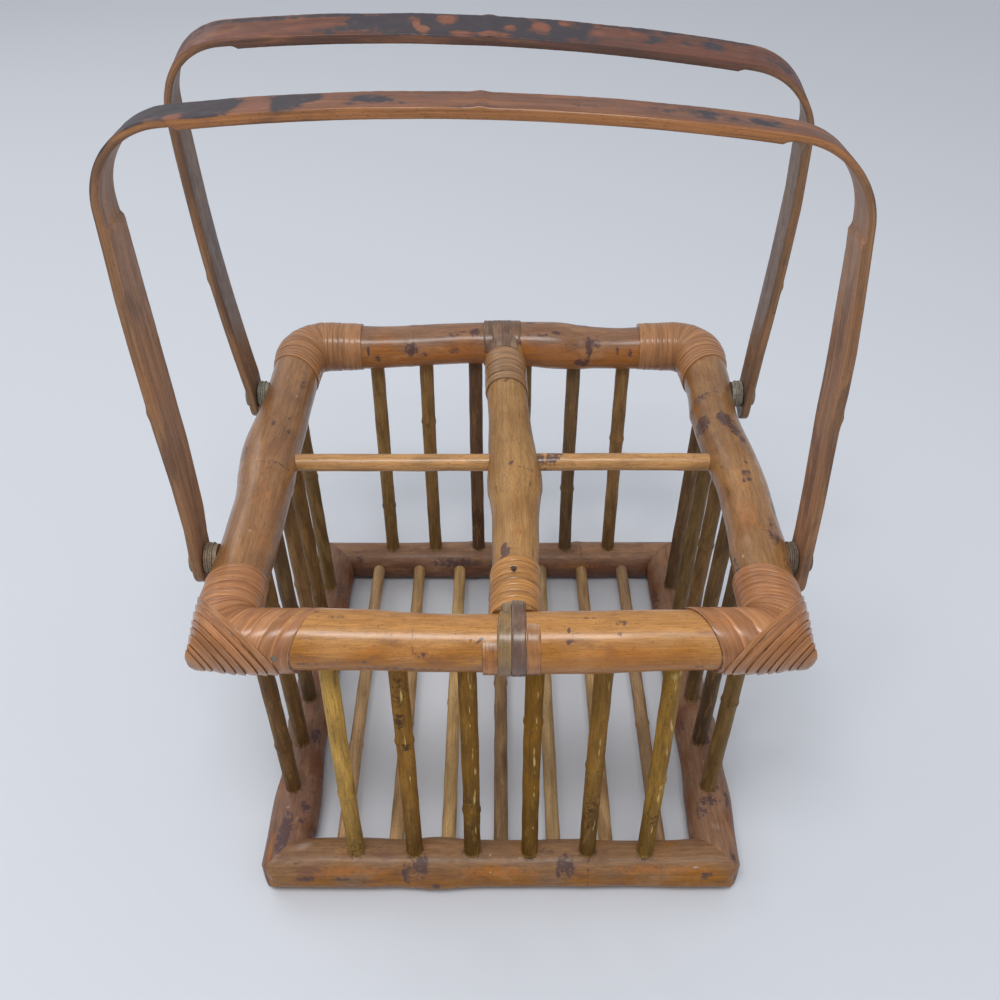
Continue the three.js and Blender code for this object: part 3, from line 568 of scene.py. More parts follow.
BOTTOM_LEFT_MARKS = marked(
    burn=[
        (-45, 130, 6, 3.9, 0.9), (-73, 166, 7, 1.9, 0.6), (-115, 85, 12.7, 4.2, 1),
        (-98, 122, 4.6, 4.3, 0.7), (-109, 122, 4.5, 3, 0.65), (-84, 136, 8.2, 3.7, 0.4),
        (34, 117, 27.1, 5.5, 0.4), (82, 122, 16.1, 5.8, 0.4),
    ],
    pale=[(-99, 81, 1.3, 1.2, 1), (-76, 99, 0.9, 0.8, 1), (-61, 86, 0.8, 0.8, 1), (-57, 92, 7.3, 5.1, 0.4)],
    warm=[(-85, 48, 9.6, 3.8, 0.6), (-119, 54, 10, 2.4, 0.7)],
)
BOTTOM_RIGHT_MARKS = marked(
    burn=[
        (-92, 46, 6.1, 2.5, 0.95), (-95, 99, 4, 9, 0.66), (-101, 121, 7, 7, 0.5), (-36, 138, 6.2, 2, 0.6),
        (-122, 54, 5, 2.4, 0.6), (77, 150, 13.9, 5.8, 0.5),
    ],
    pale=[
        (-67, 97, 1.1, 0.9, 1), (-61, 84, 0.9, 0.8, 1), (-54, 101, 0.8, 0.8, 1), (-75, 88, 0.9, 0.7, 0.9),
        (-111, 87, 5.1, 5.5, 0.5), (-120, 79, 3.7, 3.6, 0.45), (-51, 87, 11.9, 5.1, 0.3),
    ],
    warm=[(112, 101, 8.5, 4.5, 0.5)],
)
BOTTOM_REAR_MARKS = marked(
    burn=[(-34, 149, 23.8, 4.7, 0.6), (-108, 139, 7.5, 4.7, 0.55)],
    pale=[
        (-56, 122, 2.2, 1.6, 0.6), (-32, 104, 2.2, 1.6, 0.6), (-116, 95, 6, 3.2, 0.35),
        (89, 92, 10.5, 1.6, 0.35),
    ],
    warm=[(59, 159, 22.4, 3.1, 0.6), (-86, 80, 15.1, 2, 0.6)],
)

# How the poles' lines differ from straight ones: place along, aside, up and radius there. Most of them
# were worked out with the fitted camera from edges read off, and then adjusted
FRONT_SHAPE = [
    (-128, 0, 0, 12.2), (-112, 0, 0, 14), (-95, 0, 0.7, 14), (-80, 0, 1.0, 14), (-60, 0, 0.2, 13.8),
    (-40, 0, -0.8, 13.4), (-20, 0, -1.6, 13.1), (-8, 0, -2.0, 13.1), (8, 0, -1.8, 14.0),
    (22, 0, -1.6, 14.3), (40, 0, -1.2, 14.3), (60, 0, -0.5, 14), (80, 0, 0.3, 13.7), (95, 0, 0.2, 13.8),
    (112, 0, 0, 14), (128, 0, 0, 12.2),
]
REAR_SHAPE = [
    (-100, 0, 0, 14), (-80, 0, -0.5, 13.6), (-60, 0, 0.4, 13.2), (-40, 0, 1.7, 13.0), (-20, 0, 2.7, 12.9),
    (5, 0, 2.5, 13.6), (20, 0, 2.0, 14.2), (30, 0, 1.1, 15.0), (38, 0, 0.8, 15.2), (45, 0, 0, 14.9),
    (52, 0, -0.7, 13.9), (60, 0, -0.9, 13.4), (75, 0, -1.4, 13.0), (90, 0, -1.0, 13.4), (102, 0, 0, 14),
]
LEFT_SHAPE = [
    (-130, 0, 0, 12.2), (-114, 0, 0, 14), (-95, 0, 0, 14), (-80, -0.5, 0, 14), (-60, -1.0, 0, 13.9),
    (-32, -1.0, 0, 13.8), (-20, -0.4, 0, 14.6), (-8, 0.4, 0, 15.6), (5, 1.5, 0, 15.8), (20, 1.5, 0, 15.6),
    (40, 0.6, 0, 15.0), (55, 0, 0, 14.3), (90, 0, 0, 14),
]
RIGHT_SHAPE = [
    (-130, 0, 0, 12.2), (-114, 0, 0, 14), (-95, 0, 0, 14), (-75, 1.0, 0, 13.9), (-60, 1.8, 0, 13.5),
    (-35, 2.5, 0, 13.1), (-20, 2.9, 0, 13.2), (-5, 2.0, 0, 13.4), (10, 0.6, 0, 13.5), (30, -1.2, 0, 13.3),
    (55, -1.8, 0, 12.9), (75, 0, 0, 13.3), (92, 0, 0, 14),
]
CENTER_SHAPE = [
    (-128, 1.3, -1.2, 11.6), (-102, 1.5, -1.0, 11.5), (-89, 1.8, -0.9, 11.5), (-69, 2.3, -0.6, 11.7),
    (-48, 2.6, -0.4, 12.0), (-36, 2.7, -0.2, 12.6), (-28, 2.5, 0, 13.4), (-20, 2.6, 0, 14.5),
    (-13, 2.7, 0, 15.2), (-4, 2.4, 0.1, 14.7), (7, 1.7, 0.2, 13.5), (26, 0.8, 0.4, 12.7),
    (46, 0.1, 0.7, 12.2), (60, -0.6, 0.9, 12.0), (75, -1.3, 1.0, 12.0), (109, -1.9, 1.4, 12.1),
    (128, -2.2, 1.6, 12.2),
]
BOTTOM_FRONT_SHAPE = [
    (-115, 0, 0.6, 13), (-100, 0, 0.8, 13.4), (-80, 0, 0.8, 13.4), (-62, 0, 0.4, 13), (-53, 0, 0, 12.6),
    (-44, 0, 0, 13.8), (-34, 0, 0.3, 14.3), (-20, 0, 0, 13), (0, 0, -0.2, 12.6), (20, 0, -0.2, 12.5),
    (38, 0, 0.3, 12.9), (46, 0, 0.3, 12.7), (60, 0, -0.2, 12.2), (80, 0, -0.5, 12.3),
    (100, 0, -0.5, 12.6), (115, 0, 0, 13),
]
BOTTOM_LEFT_SHAPE = [
    (-116, 0, 0, 13), (-108, -1.0, 0, 13.9), (-92, -1.0, 0, 14.1), (-82, -1.0, 0, 13.9),
    (-70, -1.2, 0, 12.6), (-60, -0.8, 0, 12.4), (-45, 0.8, 0, 12.6), (-20, 0.5, 0, 12.9), (0, 0, 0, 13),
    (116, 0, 0, 13),
]
BOTTOM_RIGHT_SHAPE = [
    (-116, 0, 0, 13), (-108, 0.3, 0, 13.2), (-92, 1.2, 0, 13.7), (-82, 1.4, 0, 14.1), (-70, 1.6, 0, 12.8),
    (-60, 1.8, 0, 12.6), (-45, 2.2, 0, 13.2), (-20, 1.0, 0, 13), (0, 0, 0, 13), (116, 0, 0, 13),
]
BOTTOM_REAR_SHAPE = [(-60, 0, 0, 13), (-20, 0, 0.2, 13.4), (10, 0, 0, 12.7), (60, 0, 0, 13.2)]


def shape_at(rows, along):
    """The smoothed (aside, up, radius) of a pole at places along it."""
    table = np.array(rows, float)
    around = np.asarray(along, float)[..., None] + np.linspace(-6, 6, 9)
    return [np.interp(around, table[:, 0], table[:, i]).mean(-1) for i in (1, 2, 3)]


def node_swell(along, nodes, angle):
    """How much the growth rings stand out: a low ridge with a fine groove beside it.

    A node is (place, rise, half length, slant)."""
    swell = np.zeros(np.broadcast(along, angle).shape)
    ring = np.zeros_like(swell)
    for place, rise, length, slant in nodes:
        off = along - place - slant * np.cos(angle)
        swell += rise * np.exp(-((off / length) ** 2))
        groove = np.exp(-(((off - 0.55 * length) / 0.55) ** 2))
        swell -= min(0.3, 0.3 * abs(rise)) * groove
        ring = np.maximum(ring, groove)
    return swell, ring


def route(half_run, bends=(False, False), step=1.5):
    """A rail's own line, in its own coordinates: (distance, place along, place out, tilt).

    At a bent end the line turns in by an eighth of a turn round the elbow."""
    straight = [half_run - (ELBOW_RADIUS if bent else 0) for bent in bends]
    arc = ELBOW_RADIUS * math.pi / 4
    ends = [s + (arc if bent else 0) for s, bent in zip(straight, bends)]
    distance = np.linspace(-ends[0], ends[1], int(sum(ends) / step) + 1)
    before = np.clip(-distance - straight[0], 0, None) / ELBOW_RADIUS
    after = np.clip(distance - straight[1], 0, None) / ELBOW_RADIUS
    tilt = after - before
    place = np.clip(distance, -straight[0], straight[1]) + ELBOW_RADIUS * np.sin(tilt)
    out = ELBOW_RADIUS * (np.cos(tilt) - 1)
    return distance, place, out, tilt


def pole_rings(line, radius, angle, frame_of, end_shift, shape, lowest, end_reach=26.0):
    """Rings of points round a line. end_shift says how far an end reaches at a point of it."""
    distance, place, out, tilt = [values[:, None] for values in line]
    aside, lift, _ = shape_at(shape, distance)
    side, rise = radius * np.cos(angle) + aside, np.maximum(radius * np.sin(angle) + lift, lowest)
    near = [
        ease(end_reach - (distance - distance[0]), 0, end_reach),
        ease(end_reach - (distance[-1] - distance), 0, end_reach),
    ]
    shift = near[1] * end_shift[1](side, rise) - near[0] * end_shift[0](side, rise)
    x = place + side * np.sin(tilt) + shift * np.cos(tilt)
    y = out + side * np.cos(tilt) - shift * np.sin(tilt)
    origin, along, outward, up = frame_of
    return origin + x[..., None] * along + y[..., None] * outward + rise[..., None] * up, side, rise


def with_tips(values, squeeze=False):
    """The rings with more at both ends, which close a rounded tip by an upright face."""

    def tip(ring):
        middle = ring[:, 2].mean()
        shares = (0.75, 0.5, 0.25, 0.03) if squeeze else (1, 1, 1, 1)
        base = middle if squeeze else 0
        flat = ring[:, 2] - base
        return np.array([np.column_stack([ring[:, :2], base + flat * share]) for share in shares])

    return np.concatenate([tip(values[0])[::-1], values, tip(values[-1])])


def no_shift(side, rise):
    """A square end."""
    return 0 * side


def mitre_shift(side, rise):
    """An end cut at 45 degrees."""
    return side


# How sharply the tip of a bottom corner passes from its mitre to its rounding
TIP_SHARPNESS = 6.0


def tip_shift(side, rise):
    """A mitre whose outer corner is rounded in plan."""
    center = BOTTOM_RADIUS - BOTTOM_TIP_ROUNDING
    inside = np.clip(BOTTOM_TIP_ROUNDING**2 - (side - center) ** 2, 0, None)
    limit = center + np.sqrt(inside)
    return -np.logaddexp(-side * TIP_SHARPNESS, -limit * TIP_SHARPNESS) / TIP_SHARPNESS


def cope_shift(side, rise):
    """An end that fits round the end rail that it meets."""
    return -np.sqrt(np.clip(TOP_RADIUS**2 - rise**2, 0, None))


def pole(name, style, line, shape, frame_of, *, shifts, colour, seed, nodes=(), marks=()):
    """One thick pole, with its growth rings, its slight unevenness and its marks."""
    angle = np.linspace(0, TURN, POLE_COLUMNS, endpoint=False)[None]
    along = line[0][:, None]
    swell, ring = node_swell(along, nodes, angle)
    radius = shape_at(shape, along)[2]
    body = radius + swell + 0.2 * ripple(along, angle, seed, 80) - 0.1
    lowest = -BOTTOM_HEIGHT if style == "bottom_pole" else -math.inf
    rings, side, rise = pole_rings(line, body, angle, frame_of, shifts, shape, lowest)
    grain = np.stack([np.broadcast_to(along, side.shape) + POLE_GRAIN * seed, side, rise], -1)
    field = mark_field(along, angle, radius, marks)
    field[..., BURN_AND_SHADE] = np.maximum(field[..., BURN_AND_SHADE], 0.45 * ring)
    shade = np.broadcast_to(colour(along, angle), rings.shape)
    if style == "bottom_pole":
        rings = with_tips(rings, squeeze=True)
        grain, shade, field = [with_tips(values) for values in (grain, shade, field)]
    return skin(name, rings, grain, shade, field, MATERIALS[style])


def basis(x, y, z, along, outward):
    """A rail's own axes: its middle, along it, outward and up."""
    up = np.array([0.0, 0.0, 1.0])
    return np.array([x, y, z], float), np.array(along, float), np.array(outward, float), up


def shaded_sides_lit_top(shaded_side_colour, lit_top_colour, seed, drift=0.5):
    """A pole's colour: one tone on its sides, another on top, drifting along it. The side tone paints shade
    and the top tone paints the light from above; on the bottom rails the top tone is also dust.
    """
    a, b = linear(*shaded_side_colour), linear(*lit_top_colour)

    def colour(along, angle):
        share = ease(np.sin(angle) + drift * ripple(along, angle, seed + 50, 60), -0.1, 0.9)
        return a + (b - a) * share[..., None]

    return colour


LEFT, RIGHT, FRONT, REAR = (-1.0, 0.0, 0.0), (1.0, 0.0, 0.0), (0.0, -1.0, 0.0), (0.0, 1.0, 0.0)

# Each rail: its colours on the sides and on top, which paint shade on the sides and light on top (and dust on
# the tops of the bottom rails), its growth rings (place, rise, half length and slant), its marks and its
# shape
RAILS = {
    ("top", "front"): ((164, 102, 18), (184, 130, 70), [(9, 0.4, 3.0, 0.8)], FRONT_MARKS, FRONT_SHAPE),
    ("top", "rear"): (
        (162, 100, 40), (142, 102, 74), [(-56, 0.3, 3.0, 0.8), (54, 0.3, 3.0, 1.4)], REAR_MARKS, REAR_SHAPE,
    ),
    ("top", "left"): ((134, 92, 56), (150, 106, 66), [(-14, 0.3, 4.0, 0.8)], LEFT_MARKS, LEFT_SHAPE),
    ("top", "right"): (
        (136, 90, 44), (150, 108, 65), [(-70, 0.3, 4.0, -0.8), (53, 0.5, 4.0, 0.8)], RIGHT_MARKS, RIGHT_SHAPE,
    ),
    ("bottom", "front"): (
        (146, 94, 30), (134, 100, 70), [(-53, 0.2, 3.0, 0.3), (46, 0.2, 3.0, 0.5)], BOTTOM_FRONT_MARKS,
        BOTTOM_FRONT_SHAPE,
    ),
    ("bottom", "rear"): (
        (112, 74, 54), (138, 104, 80), [(-20, 0.7, 3.5, 0.8), (58, 0.7, 3.5, -0.6)], BOTTOM_REAR_MARKS,
        BOTTOM_REAR_SHAPE,
    ),
    ("bottom", "left"): (
        (118, 72, 46), (124, 92, 74), [(-28, 0.7, 3.5, 0.8), (68, 0.7, 3.5, -0.6)], BOTTOM_LEFT_MARKS,
        BOTTOM_LEFT_SHAPE,
    ),
    ("bottom", "right"): (
        (120, 76, 48), (132, 98, 74), [(-28, 0.7, 3.5, -0.8), (68, 0.7, 3.5, 0.6)], BOTTOM_RIGHT_MARKS,
        BOTTOM_RIGHT_SHAPE,
    ),
}
# Which ends of the top rails turn in round an elbow. No end of a bottom rail does
TOP_BENDS = {"front": (False, False), "rear": (True, True), "left": (False, True), "right": (False, True)}
# Each frame: its half width and half depth, its height, the cut of its corners and its first seeds, for
# unevenness and for tone
FRAMES = {
    "top": (HALF_TOP_WIDTH, HALF_TOP_DEPTH, TOP_HEIGHT, mitre_shift, TOP_SEED, TOP_TONE_SEED),
    "bottom": (HALF_BOTTOM_WIDTH, HALF_BOTTOM_DEPTH, BOTTOM_HEIGHT, tip_shift, BOTTOM_SEED, BOTTOM_SEED),
}
# The painted shadow on a bottom rail round the foot of each spindle: its angle, size and strength
FOOT_ANGLE, FOOT_SPOT, FOOT_STRENGTH = 88, 5.4, 0.85


def foot_shadows(side):
    """Painted shadows round the feet of one side's spindles."""
    at_end = side in ("front", "rear")
    reach = HALF_TOP_WIDTH - END_ROD_INSET if at_end else HALF_TOP_DEPTH - SIDE_ROD_INSET
    feet = np.linspace(-reach, reach, RODS_PER_SIDE)
    return [(foot, FOOT_ANGLE, FOOT_SPOT, FOOT_SPOT, BURN_AND_SHADE, FOOT_STRENGTH) for foot in feet]


def rails(level):
    """The four rails of the top or bottom frame."""
    half_width, half_depth, height, end_shift, seed, tone_seed = FRAMES[level]
    places = {
        "front": (0, -half_depth, RIGHT, FRONT, half_width),
        "rear": (0, half_depth, RIGHT, REAR, half_width),
        "left": (-half_width, 0, REAR, LEFT, half_depth),
        "right": (half_width, 0, REAR, RIGHT, half_depth),
    }
    slot = f"{level}_pole"
    for number, (side, (x, y, along, outward, half_run)) in enumerate(places.items()):
        shaded_side_colour, lit_top_colour, nodes, marks, shape = RAILS[level, side]
        bends = TOP_BENDS[side] if level == "top" else (False, False)
        options = dict(
            shifts=[no_shift if bent else end_shift for bent in bends],
            colour=shaded_sides_lit_top(shaded_side_colour, lit_top_colour, tone_seed + number),
            # The bottom rails get painted shadows round the spindles' feet
            marks=marks + foot_shadows(side) if level == "bottom" else marks,
            nodes=nodes,
            seed=seed + number,
        )
        name = f"{level}_{side}_rail"
        frame_of = basis(BASKET_X + x, y, height, along, outward)
        piece = pole(f"{name}_cane", slot, route(half_run, bends), shape, frame_of, **options)
        seat(piece, "basket", slot, name)


def center_rail():
    """The rail in the middle, with its strong knuckle."""
    frame_of = basis(BASKET_X + CENTER_OFFSET, 0, TOP_HEIGHT, REAR, RIGHT)
    options = dict(
        shifts=(cope_shift, cope_shift),
        # The center rail's side tone paints shade and its top tone paints light
        colour=shaded_sides_lit_top((150, 108, 62), (168, 127, 78), CENTER_SEED),
        marks=CENTER_MARKS,
        nodes=[(-20, 0.25, 3.0, 0.6)],
        seed=CENTER_SEED,
    )
    line = route(HALF_TOP_DEPTH)
    piece = pole("center_rail_cane", "center_pole", line, CENTER_SHAPE, frame_of, **options)
    seat(piece, "basket", "center_pole", "center_rail")


# Rods and slats


def rod(name, style, node, start, end, radius, colour, *, rings=(), seed, marks=(), bow=0.5, shade=1.0):
    """A thin rod between two points, a little bowed, with growth rings at shares of its length.

    shade is how bright the rod is at its start, against its upper half: a painted shade that darkens it
    towards its foot."""
    slot = "slat" if style == "slat" else "rod"
    start, end = np.array(start, float), np.array(end, float)
    length = np.linalg.norm(end - start)
    direction = (end - start) / length
    side = np.cross(direction, [0, 0, 1] if abs(direction[2]) < 0.5 else [0, 1, 0])
    side /= np.linalg.norm(side)
    up = np.cross(side, direction)
    angle = np.linspace(0, TURN, ROD_COLUMNS, endpoint=False)[None]
    along = np.linspace(0, length, int(length) + 1)[:, None]
    swell, ring = node_swell(along, [(share * length, 0.55, 2.0, 0.25) for share in rings], angle)
    body = radius + swell + 0.12 * ripple(along, angle, seed, 50) - 0.1
    chance = np.random.default_rng(seed)
    lean = chance.uniform(0, TURN)
    arch = bow * np.sin(math.pi * along / length)
    across = body * np.cos(angle) + arch * math.cos(lean)
    rise = body * np.sin(angle) + arch * math.sin(lean)
    points = start + along[..., None] * direction + across[..., None] * side + rise[..., None] * up
    shape = across.shape
    grain = np.stack([np.broadcast_to(along, shape) + ROD_GRAIN * seed, across, rise], -1)
    field = mark_field(along, angle, radius, marks)
    field[..., BURN_AND_SHADE] = np.maximum(field[..., BURN_AND_SHADE], 0.4 * ring)
    tone = linear(*colour) * (1 + 0.2 * ripple(along, angle, seed + 9, 70))[..., None]
    # Painted shade: the rod darkens towards its start when shade is below 1
    tone = tone * (shade + (1 - shade) * ease(along, 5, 95))[..., None]
    piece = skin(name, points, grain, tone, field, MATERIALS[style])
    return seat(piece, "basket", slot, node)


# Where along a spindle its growth ring lies, in turn, and with which of these each side starts
ROD_RING_SHARES = [0.37, 0.62, 0.28, 0.7, 0.5, 0.44]
RING_SKIPS = {"front": 0, "rear": 2, "left": 2, "right": 4}
SPINDLE_TONES = {
    "front": [(188, 147, 72), (142, 99, 34), (124, 86, 20), (128, 88, 12), (134, 96, 36), (150, 112, 42)],
    "rear": [(142, 110, 66), (142, 108, 64), (106, 78, 58), (130, 104, 70), (120, 94, 66), (142, 108, 68)],
    "left": [(118, 86, 52), (124, 91, 54), (106, 82, 56), (140, 104, 66), (126, 91, 54), (130, 101, 62)],
    "right": [(132, 102, 58), (100, 77, 54), (110, 84, 54), (122, 92, 58), (124, 98, 62), (112, 85, 60)],
}
# How bright the spindles of each side are at their feet, darkened there as painted shade
SPINDLE_SHADES = {"front": 0.5, "rear": 0.68, "left": 0.78, "right": 0.76}
# How many places of each front spindle have peeled to pale wood
PEELED_PLACES = [4, 8, 26, 24, 22, 30]
# Those places: from where to where along the rod, middle and spread of their angles, shortest and
# longest half length, half width and strength
PEELED_SPAN, PEELED_ANGLE, PEELED_LENGTH = (30, 165), (250, 11), (0.8, 7)
PEELED_WIDTH, PEELED_STRENGTH = 0.34, 0.85
# The pale ring where a spindle leaves its socket: its angle, half length, half width and strength
SOCKET_RING = (270, 3.0, 30.0, PALE, 0.5)
# The dark places of the front spindles and the pale head of the last one. The first spindle's dark place, at
# its foot, is painted shade
FRONT_STAINS_AND_SHADE = {
    # Painted shade at the foot of the first spindle
    0: [(16, 270, 18, 9, BURN_AND_SHADE, 0.38)],
    1: [(150, 270, 22, 8, BURN_AND_SHADE, 0.4), (128, 285, 7, 4, BURN_AND_SHADE, 0.7), (108, 265, 3, 3, BURN_AND_SHADE, 0.8)],
    2: [(62, 270, 9, 6, BURN_AND_SHADE, 0.42), (38, 262, 5, 4, BURN_AND_SHADE, 0.4)],
    4: [(48, 270, 34, 9, BURN_AND_SHADE, 0.4)],
    5: [(160, 272, 4, 3, PALE, 0.7), (46, 262, 14, 8, BURN_AND_SHADE, 0.38)],
}


def peeled_places(count, seed):
    """Short pale streaks on the front of a rod."""
    chance = np.random.default_rng(seed)
    return [
        (
            chance.uniform(*PEELED_SPAN), chance.normal(*PEELED_ANGLE), chance.uniform(*PEELED_LENGTH),
            PEELED_WIDTH, PALE, PEELED_STRENGTH,
        )
        for _ in range(count)
    ]


def spindles():
    """Six rods on each side, from the bottom frame to the top one."""
    low, high = BOTTOM_HEIGHT + BOTTOM_RADIUS - SOCKET_DEPTH, TOP_HEIGHT - TOP_RADIUS + SOCKET_DEPTH
    end_places = np.linspace(-1, 1, RODS_PER_SIDE) * (HALF_TOP_WIDTH - END_ROD_INSET)
    side_places = np.linspace(-1, 1, RODS_PER_SIDE) * (HALF_TOP_DEPTH - SIDE_ROD_INSET)
    seed = SPINDLE_SEED
    for number in range(RODS_PER_SIDE):
        x, y = BASKET_X + end_places[number], side_places[number]
        for side, skip in RING_SKIPS.items():
            seed += 1
            out = -1 if side in ("front", "left") else 1
            if side in ("front", "rear"):
                foot, head = (x, out * HALF_BOTTOM_DEPTH), (x, out * HALF_TOP_DEPTH)
            else:
                foot, head = (BASKET_X + out * HALF_BOTTOM_WIDTH, y), (BASKET_X + out * HALF_TOP_WIDTH, y)
            marks = [(SOCKET_DEPTH, *SOCKET_RING)]
            if side == "front":
                marks += FRONT_STAINS_AND_SHADE.get(number, []) + peeled_places(PEELED_PLACES[number], seed + PEEL_SEED)
            share = ROD_RING_SHARES[(number + skip) % len(ROD_RING_SHARES)]
            options = dict(rings=[share], seed=seed, marks=marks, shade=SPINDLE_SHADES[side])
            name, tone = f"{side}_spindle_{number + 1}", SPINDLE_TONES[side][number]
            rod(f"{name}_rod", "rod", name, (*foot, low), (*head, high), ROD_RADIUS, tone, **options)


SLAT_TONES = [
    (178, 144, 104), (168, 134, 92), (184, 150, 100), (130, 102, 72), (170, 140, 98), (166, 132, 90),
    (150, 120, 88),
]
# Where the growth ring of the first slat lies, how much further that of the next one, and their bow
SLAT_RING_SHARE, SLAT_RING_STEP, SLAT_BOW = 0.31, 0.07, 0.3
CROSS_TONE, CROSS_BOW = (190, 141, 86), 0.2


def slats():
    """The seven rods of the floor."""
    reach = HALF_BOTTOM_DEPTH - BOTTOM_RADIUS + SLAT_SOCKET_DEPTH
    z = BOTTOM_HEIGHT + SLAT_RISE
    places = np.linspace(-1, 1, SLAT_COUNT) * (HALF_BOTTOM_WIDTH - SLAT_INSET)
    for number, (x, tone) in enumerate(zip(places, SLAT_TONES)):
        name = f"floor_slat_{number + 1}"
        start, end = (BASKET_X + x, -reach, z), (BASKET_X + x, reach, z)
        ring = SLAT_RING_SHARE + SLAT_RING_STEP * (number % 5)
        options = dict(seed=SLAT_SEED + number, bow=SLAT_BOW, rings=[ring])
        rod(f"{name}_rod", "slat", name, start, end, SLAT_RADIUS, tone, **options)


# The right cross rod is sooty and chipped where it meets the center rail
SOOTY_PLACES = [(10, 60), (13, 150), (17, 60), (20, 110), (14, 300)]
SOOTY_END = [(place, turn, 4.8, 4.2, BURN_AND_SHADE, 0.85) for place, turn in SOOTY_PLACES]
SOOTY_END += [(11 + 1.1 * i, 50 + 67 * i, 0.8, 0.7, PALE, 1.0) for i in range(14)]


def cross_rods():
    """The two thin rods that part the basket crosswise."""
    for hand, side in (("left", -1), ("right", 1)):
        inner = BASKET_X + CENTER_OFFSET + side * (CENTER_RADIUS - SLAT_SOCKET_DEPTH)
        outer = BASKET_X + side * (HALF_TOP_WIDTH - TOP_RADIUS + SLAT_SOCKET_DEPTH)
        marks = SOOTY_END if hand == "right" else []
        start, end = (inner, CROSS_OFFSET, TOP_HEIGHT), (outer, CROSS_OFFSET, TOP_HEIGHT)
        options = dict(seed=CROSS_SEED + side, bow=CROSS_BOW, marks=marks)
        name = f"{hand}_cross_rod"
        rod(f"{name}_rod", "cross_rod", name, start, end, CROSS_RADIUS, CROSS_TONE, **options)


# Wound cane

# The profile of one strip across its width: (share of the width, share of its crown)
STRIP_PROFILE = [
    (0.0, -0.35), (0.05, 0.3), (0.16, 0.72), (0.34, 0.97), (0.55, 1.0), (0.76, 0.9), (0.92, 0.62),
    (0.985, 0.2),
]
FAN_APEX = TOP_RADIUS + CANE_TOP + CANE_GAP
# How deep the ends of a winding lie in the rail, how dark they are and how wide a strip is in the grain
WINDING_SINK, END_DARK, STRIP_SPAN = 1.2, 0.5, 4.6


# The edges of strips on the end rail, on the side rail and round the elbow, as functions that give
# the place (x, y) in from the corner at a distance out from the rail's axis


def end_edge(start, lean):
    return lambda out: (start - (out + FAN_APEX) * lean, -out)


def side_edge(start, lean):
    return lambda out: (-out, start - (out + FAN_APEX) * lean)


def elbow_edge(angle):
    return lambda out: (
        ELBOW_RADIUS - (ELBOW_RADIUS + out) * math.sin(angle),
        ELBOW_RADIUS - (ELBOW_RADIUS + out) * math.cos(angle),
    )


def between(kind, first, last, share):
    """The edge that lies at a share of the way from a strip's first edge to its last."""
    values = [a + (b - a) * share for a, b in zip(first, last)]
    return kind(*values)


def even(start, end, pitch):
    """Places from start to end, about a pitch apart."""
    count = max(1, round(abs(end - start) / pitch))
    return np.linspace(start, end, count + 1)


def strips_of(kind, rows):
    """Strips that each lie between two edges next to each other."""
    return [(kind, first, last) for first, last in zip(rows, rows[1:])]


def blunt(x, y, z, shrink):
    """Points of a corner, nearer to its middle the further out they lie along its diagonal."""
    keep = 1 - shrink * ease(-(x + y), 0, 18)
    return x * keep, y * keep, z * keep


class Winding:
    """Strips of cane on a corner, gathered ring by ring into one ridged skin.

    corner is (x, y, left or right, front or rear)."""

    def __init__(self, corner, shrink):
        self.corner, self.shrink = corner, shrink
        self.rings, self.grain, self.paint, self.marks = [], [], [], []

    def ring(self, place, across, along, colour, dark, pale=0.0):
        corner_x, corner_y, side_x, side_y = self.corner
        x, y, z = blunt(*place, self.shrink)
        level = 0 * z
        self.rings.append(np.stack([corner_x - side_x * x, corner_y - side_y * y, TOP_HEIGHT + z], -1))
        self.grain.append(np.stack([across + level, along, z], -1))
        self.paint.append(colour)
        self.marks.append(np.stack([dark + level, pale + level, level], -1))

    def skin(self, name):
        rings, grain, paint, marks = map(np.array, (self.rings, self.grain, self.paint, self.marks))
        return skin(name, rings, grain, paint[:, None], marks, MATERIALS["cane"], CANE_CREASE)


def wound_skin(name, strips, corner, base, crown, tone, seed, *, shrink=0.0, seam=0.5):
    """Strips side by side round the poles of a corner, from one end to the other.

    base says how thick the winding is at a share of its run."""
    angle = np.linspace(0, TURN, WINDING_COLUMNS, endpoint=False)
    chance = np.random.default_rng(seed)
    winding = Winding(corner, shrink)

    def ring(edge, radius, across, colour, dark):
        reach, z = radius * np.cos(angle), radius * np.sin(angle)
        x, y = [np.broadcast_to(values, z.shape) for values in edge(reach)]
        winding.ring((x, y, z), across, reach, colour, dark)

    low = TOP_RADIUS - WINDING_SINK + 0 * angle
    kind, first, last = strips[0]
    ring(between(kind, first, last, 0.0), low, 0.0, tone(0, chance), END_DARK)
    for number, (kind, first, last) in enumerate(strips):
        colour = tone(number, chance)
        lift = base((number + 0.5) / len(strips)) + chance.uniform(-0.08, 0.08)
        tall = crown * chance.uniform(0.6, 1.3)
        wave = 0.12 * ripple(number * 9.0, angle, seed + number, 60)
        smoky = chance.choice([0.0, 0.0, 0.1, 0.18])
        for share, height in STRIP_PROFILE:
            radius = TOP_RADIUS + lift + tall * height + wave
            radius = np.minimum(radius, TOP_RADIUS + CANE_TOP)
            dark = seam if height < 0 else smoky
            across = CANE_GRAIN * number + STRIP_SPAN * share
            ring(between(kind, first, last, share), radius, across, colour, dark)
    kind, first, last = strips[-1]
    ring(between(kind, first, last, 1.0), low, CANE_GRAIN * len(strips), tone(0, chance), END_DARK)
    return winding.skin(name)


def cane_tone(base, spread):
    """Strips that differ a little in brightness and redness."""

    def tone(number, chance):
        colour = linear(*base) * chance.uniform(1 - spread, 1 + spread)
        shift = chance.uniform(-spread, spread) / 2
        return colour * np.array([1 + shift / 3, 1, 1 - shift])

    return tone


# How far the strips of a tip lean outward for each step up
TIP_TILT = 0.3


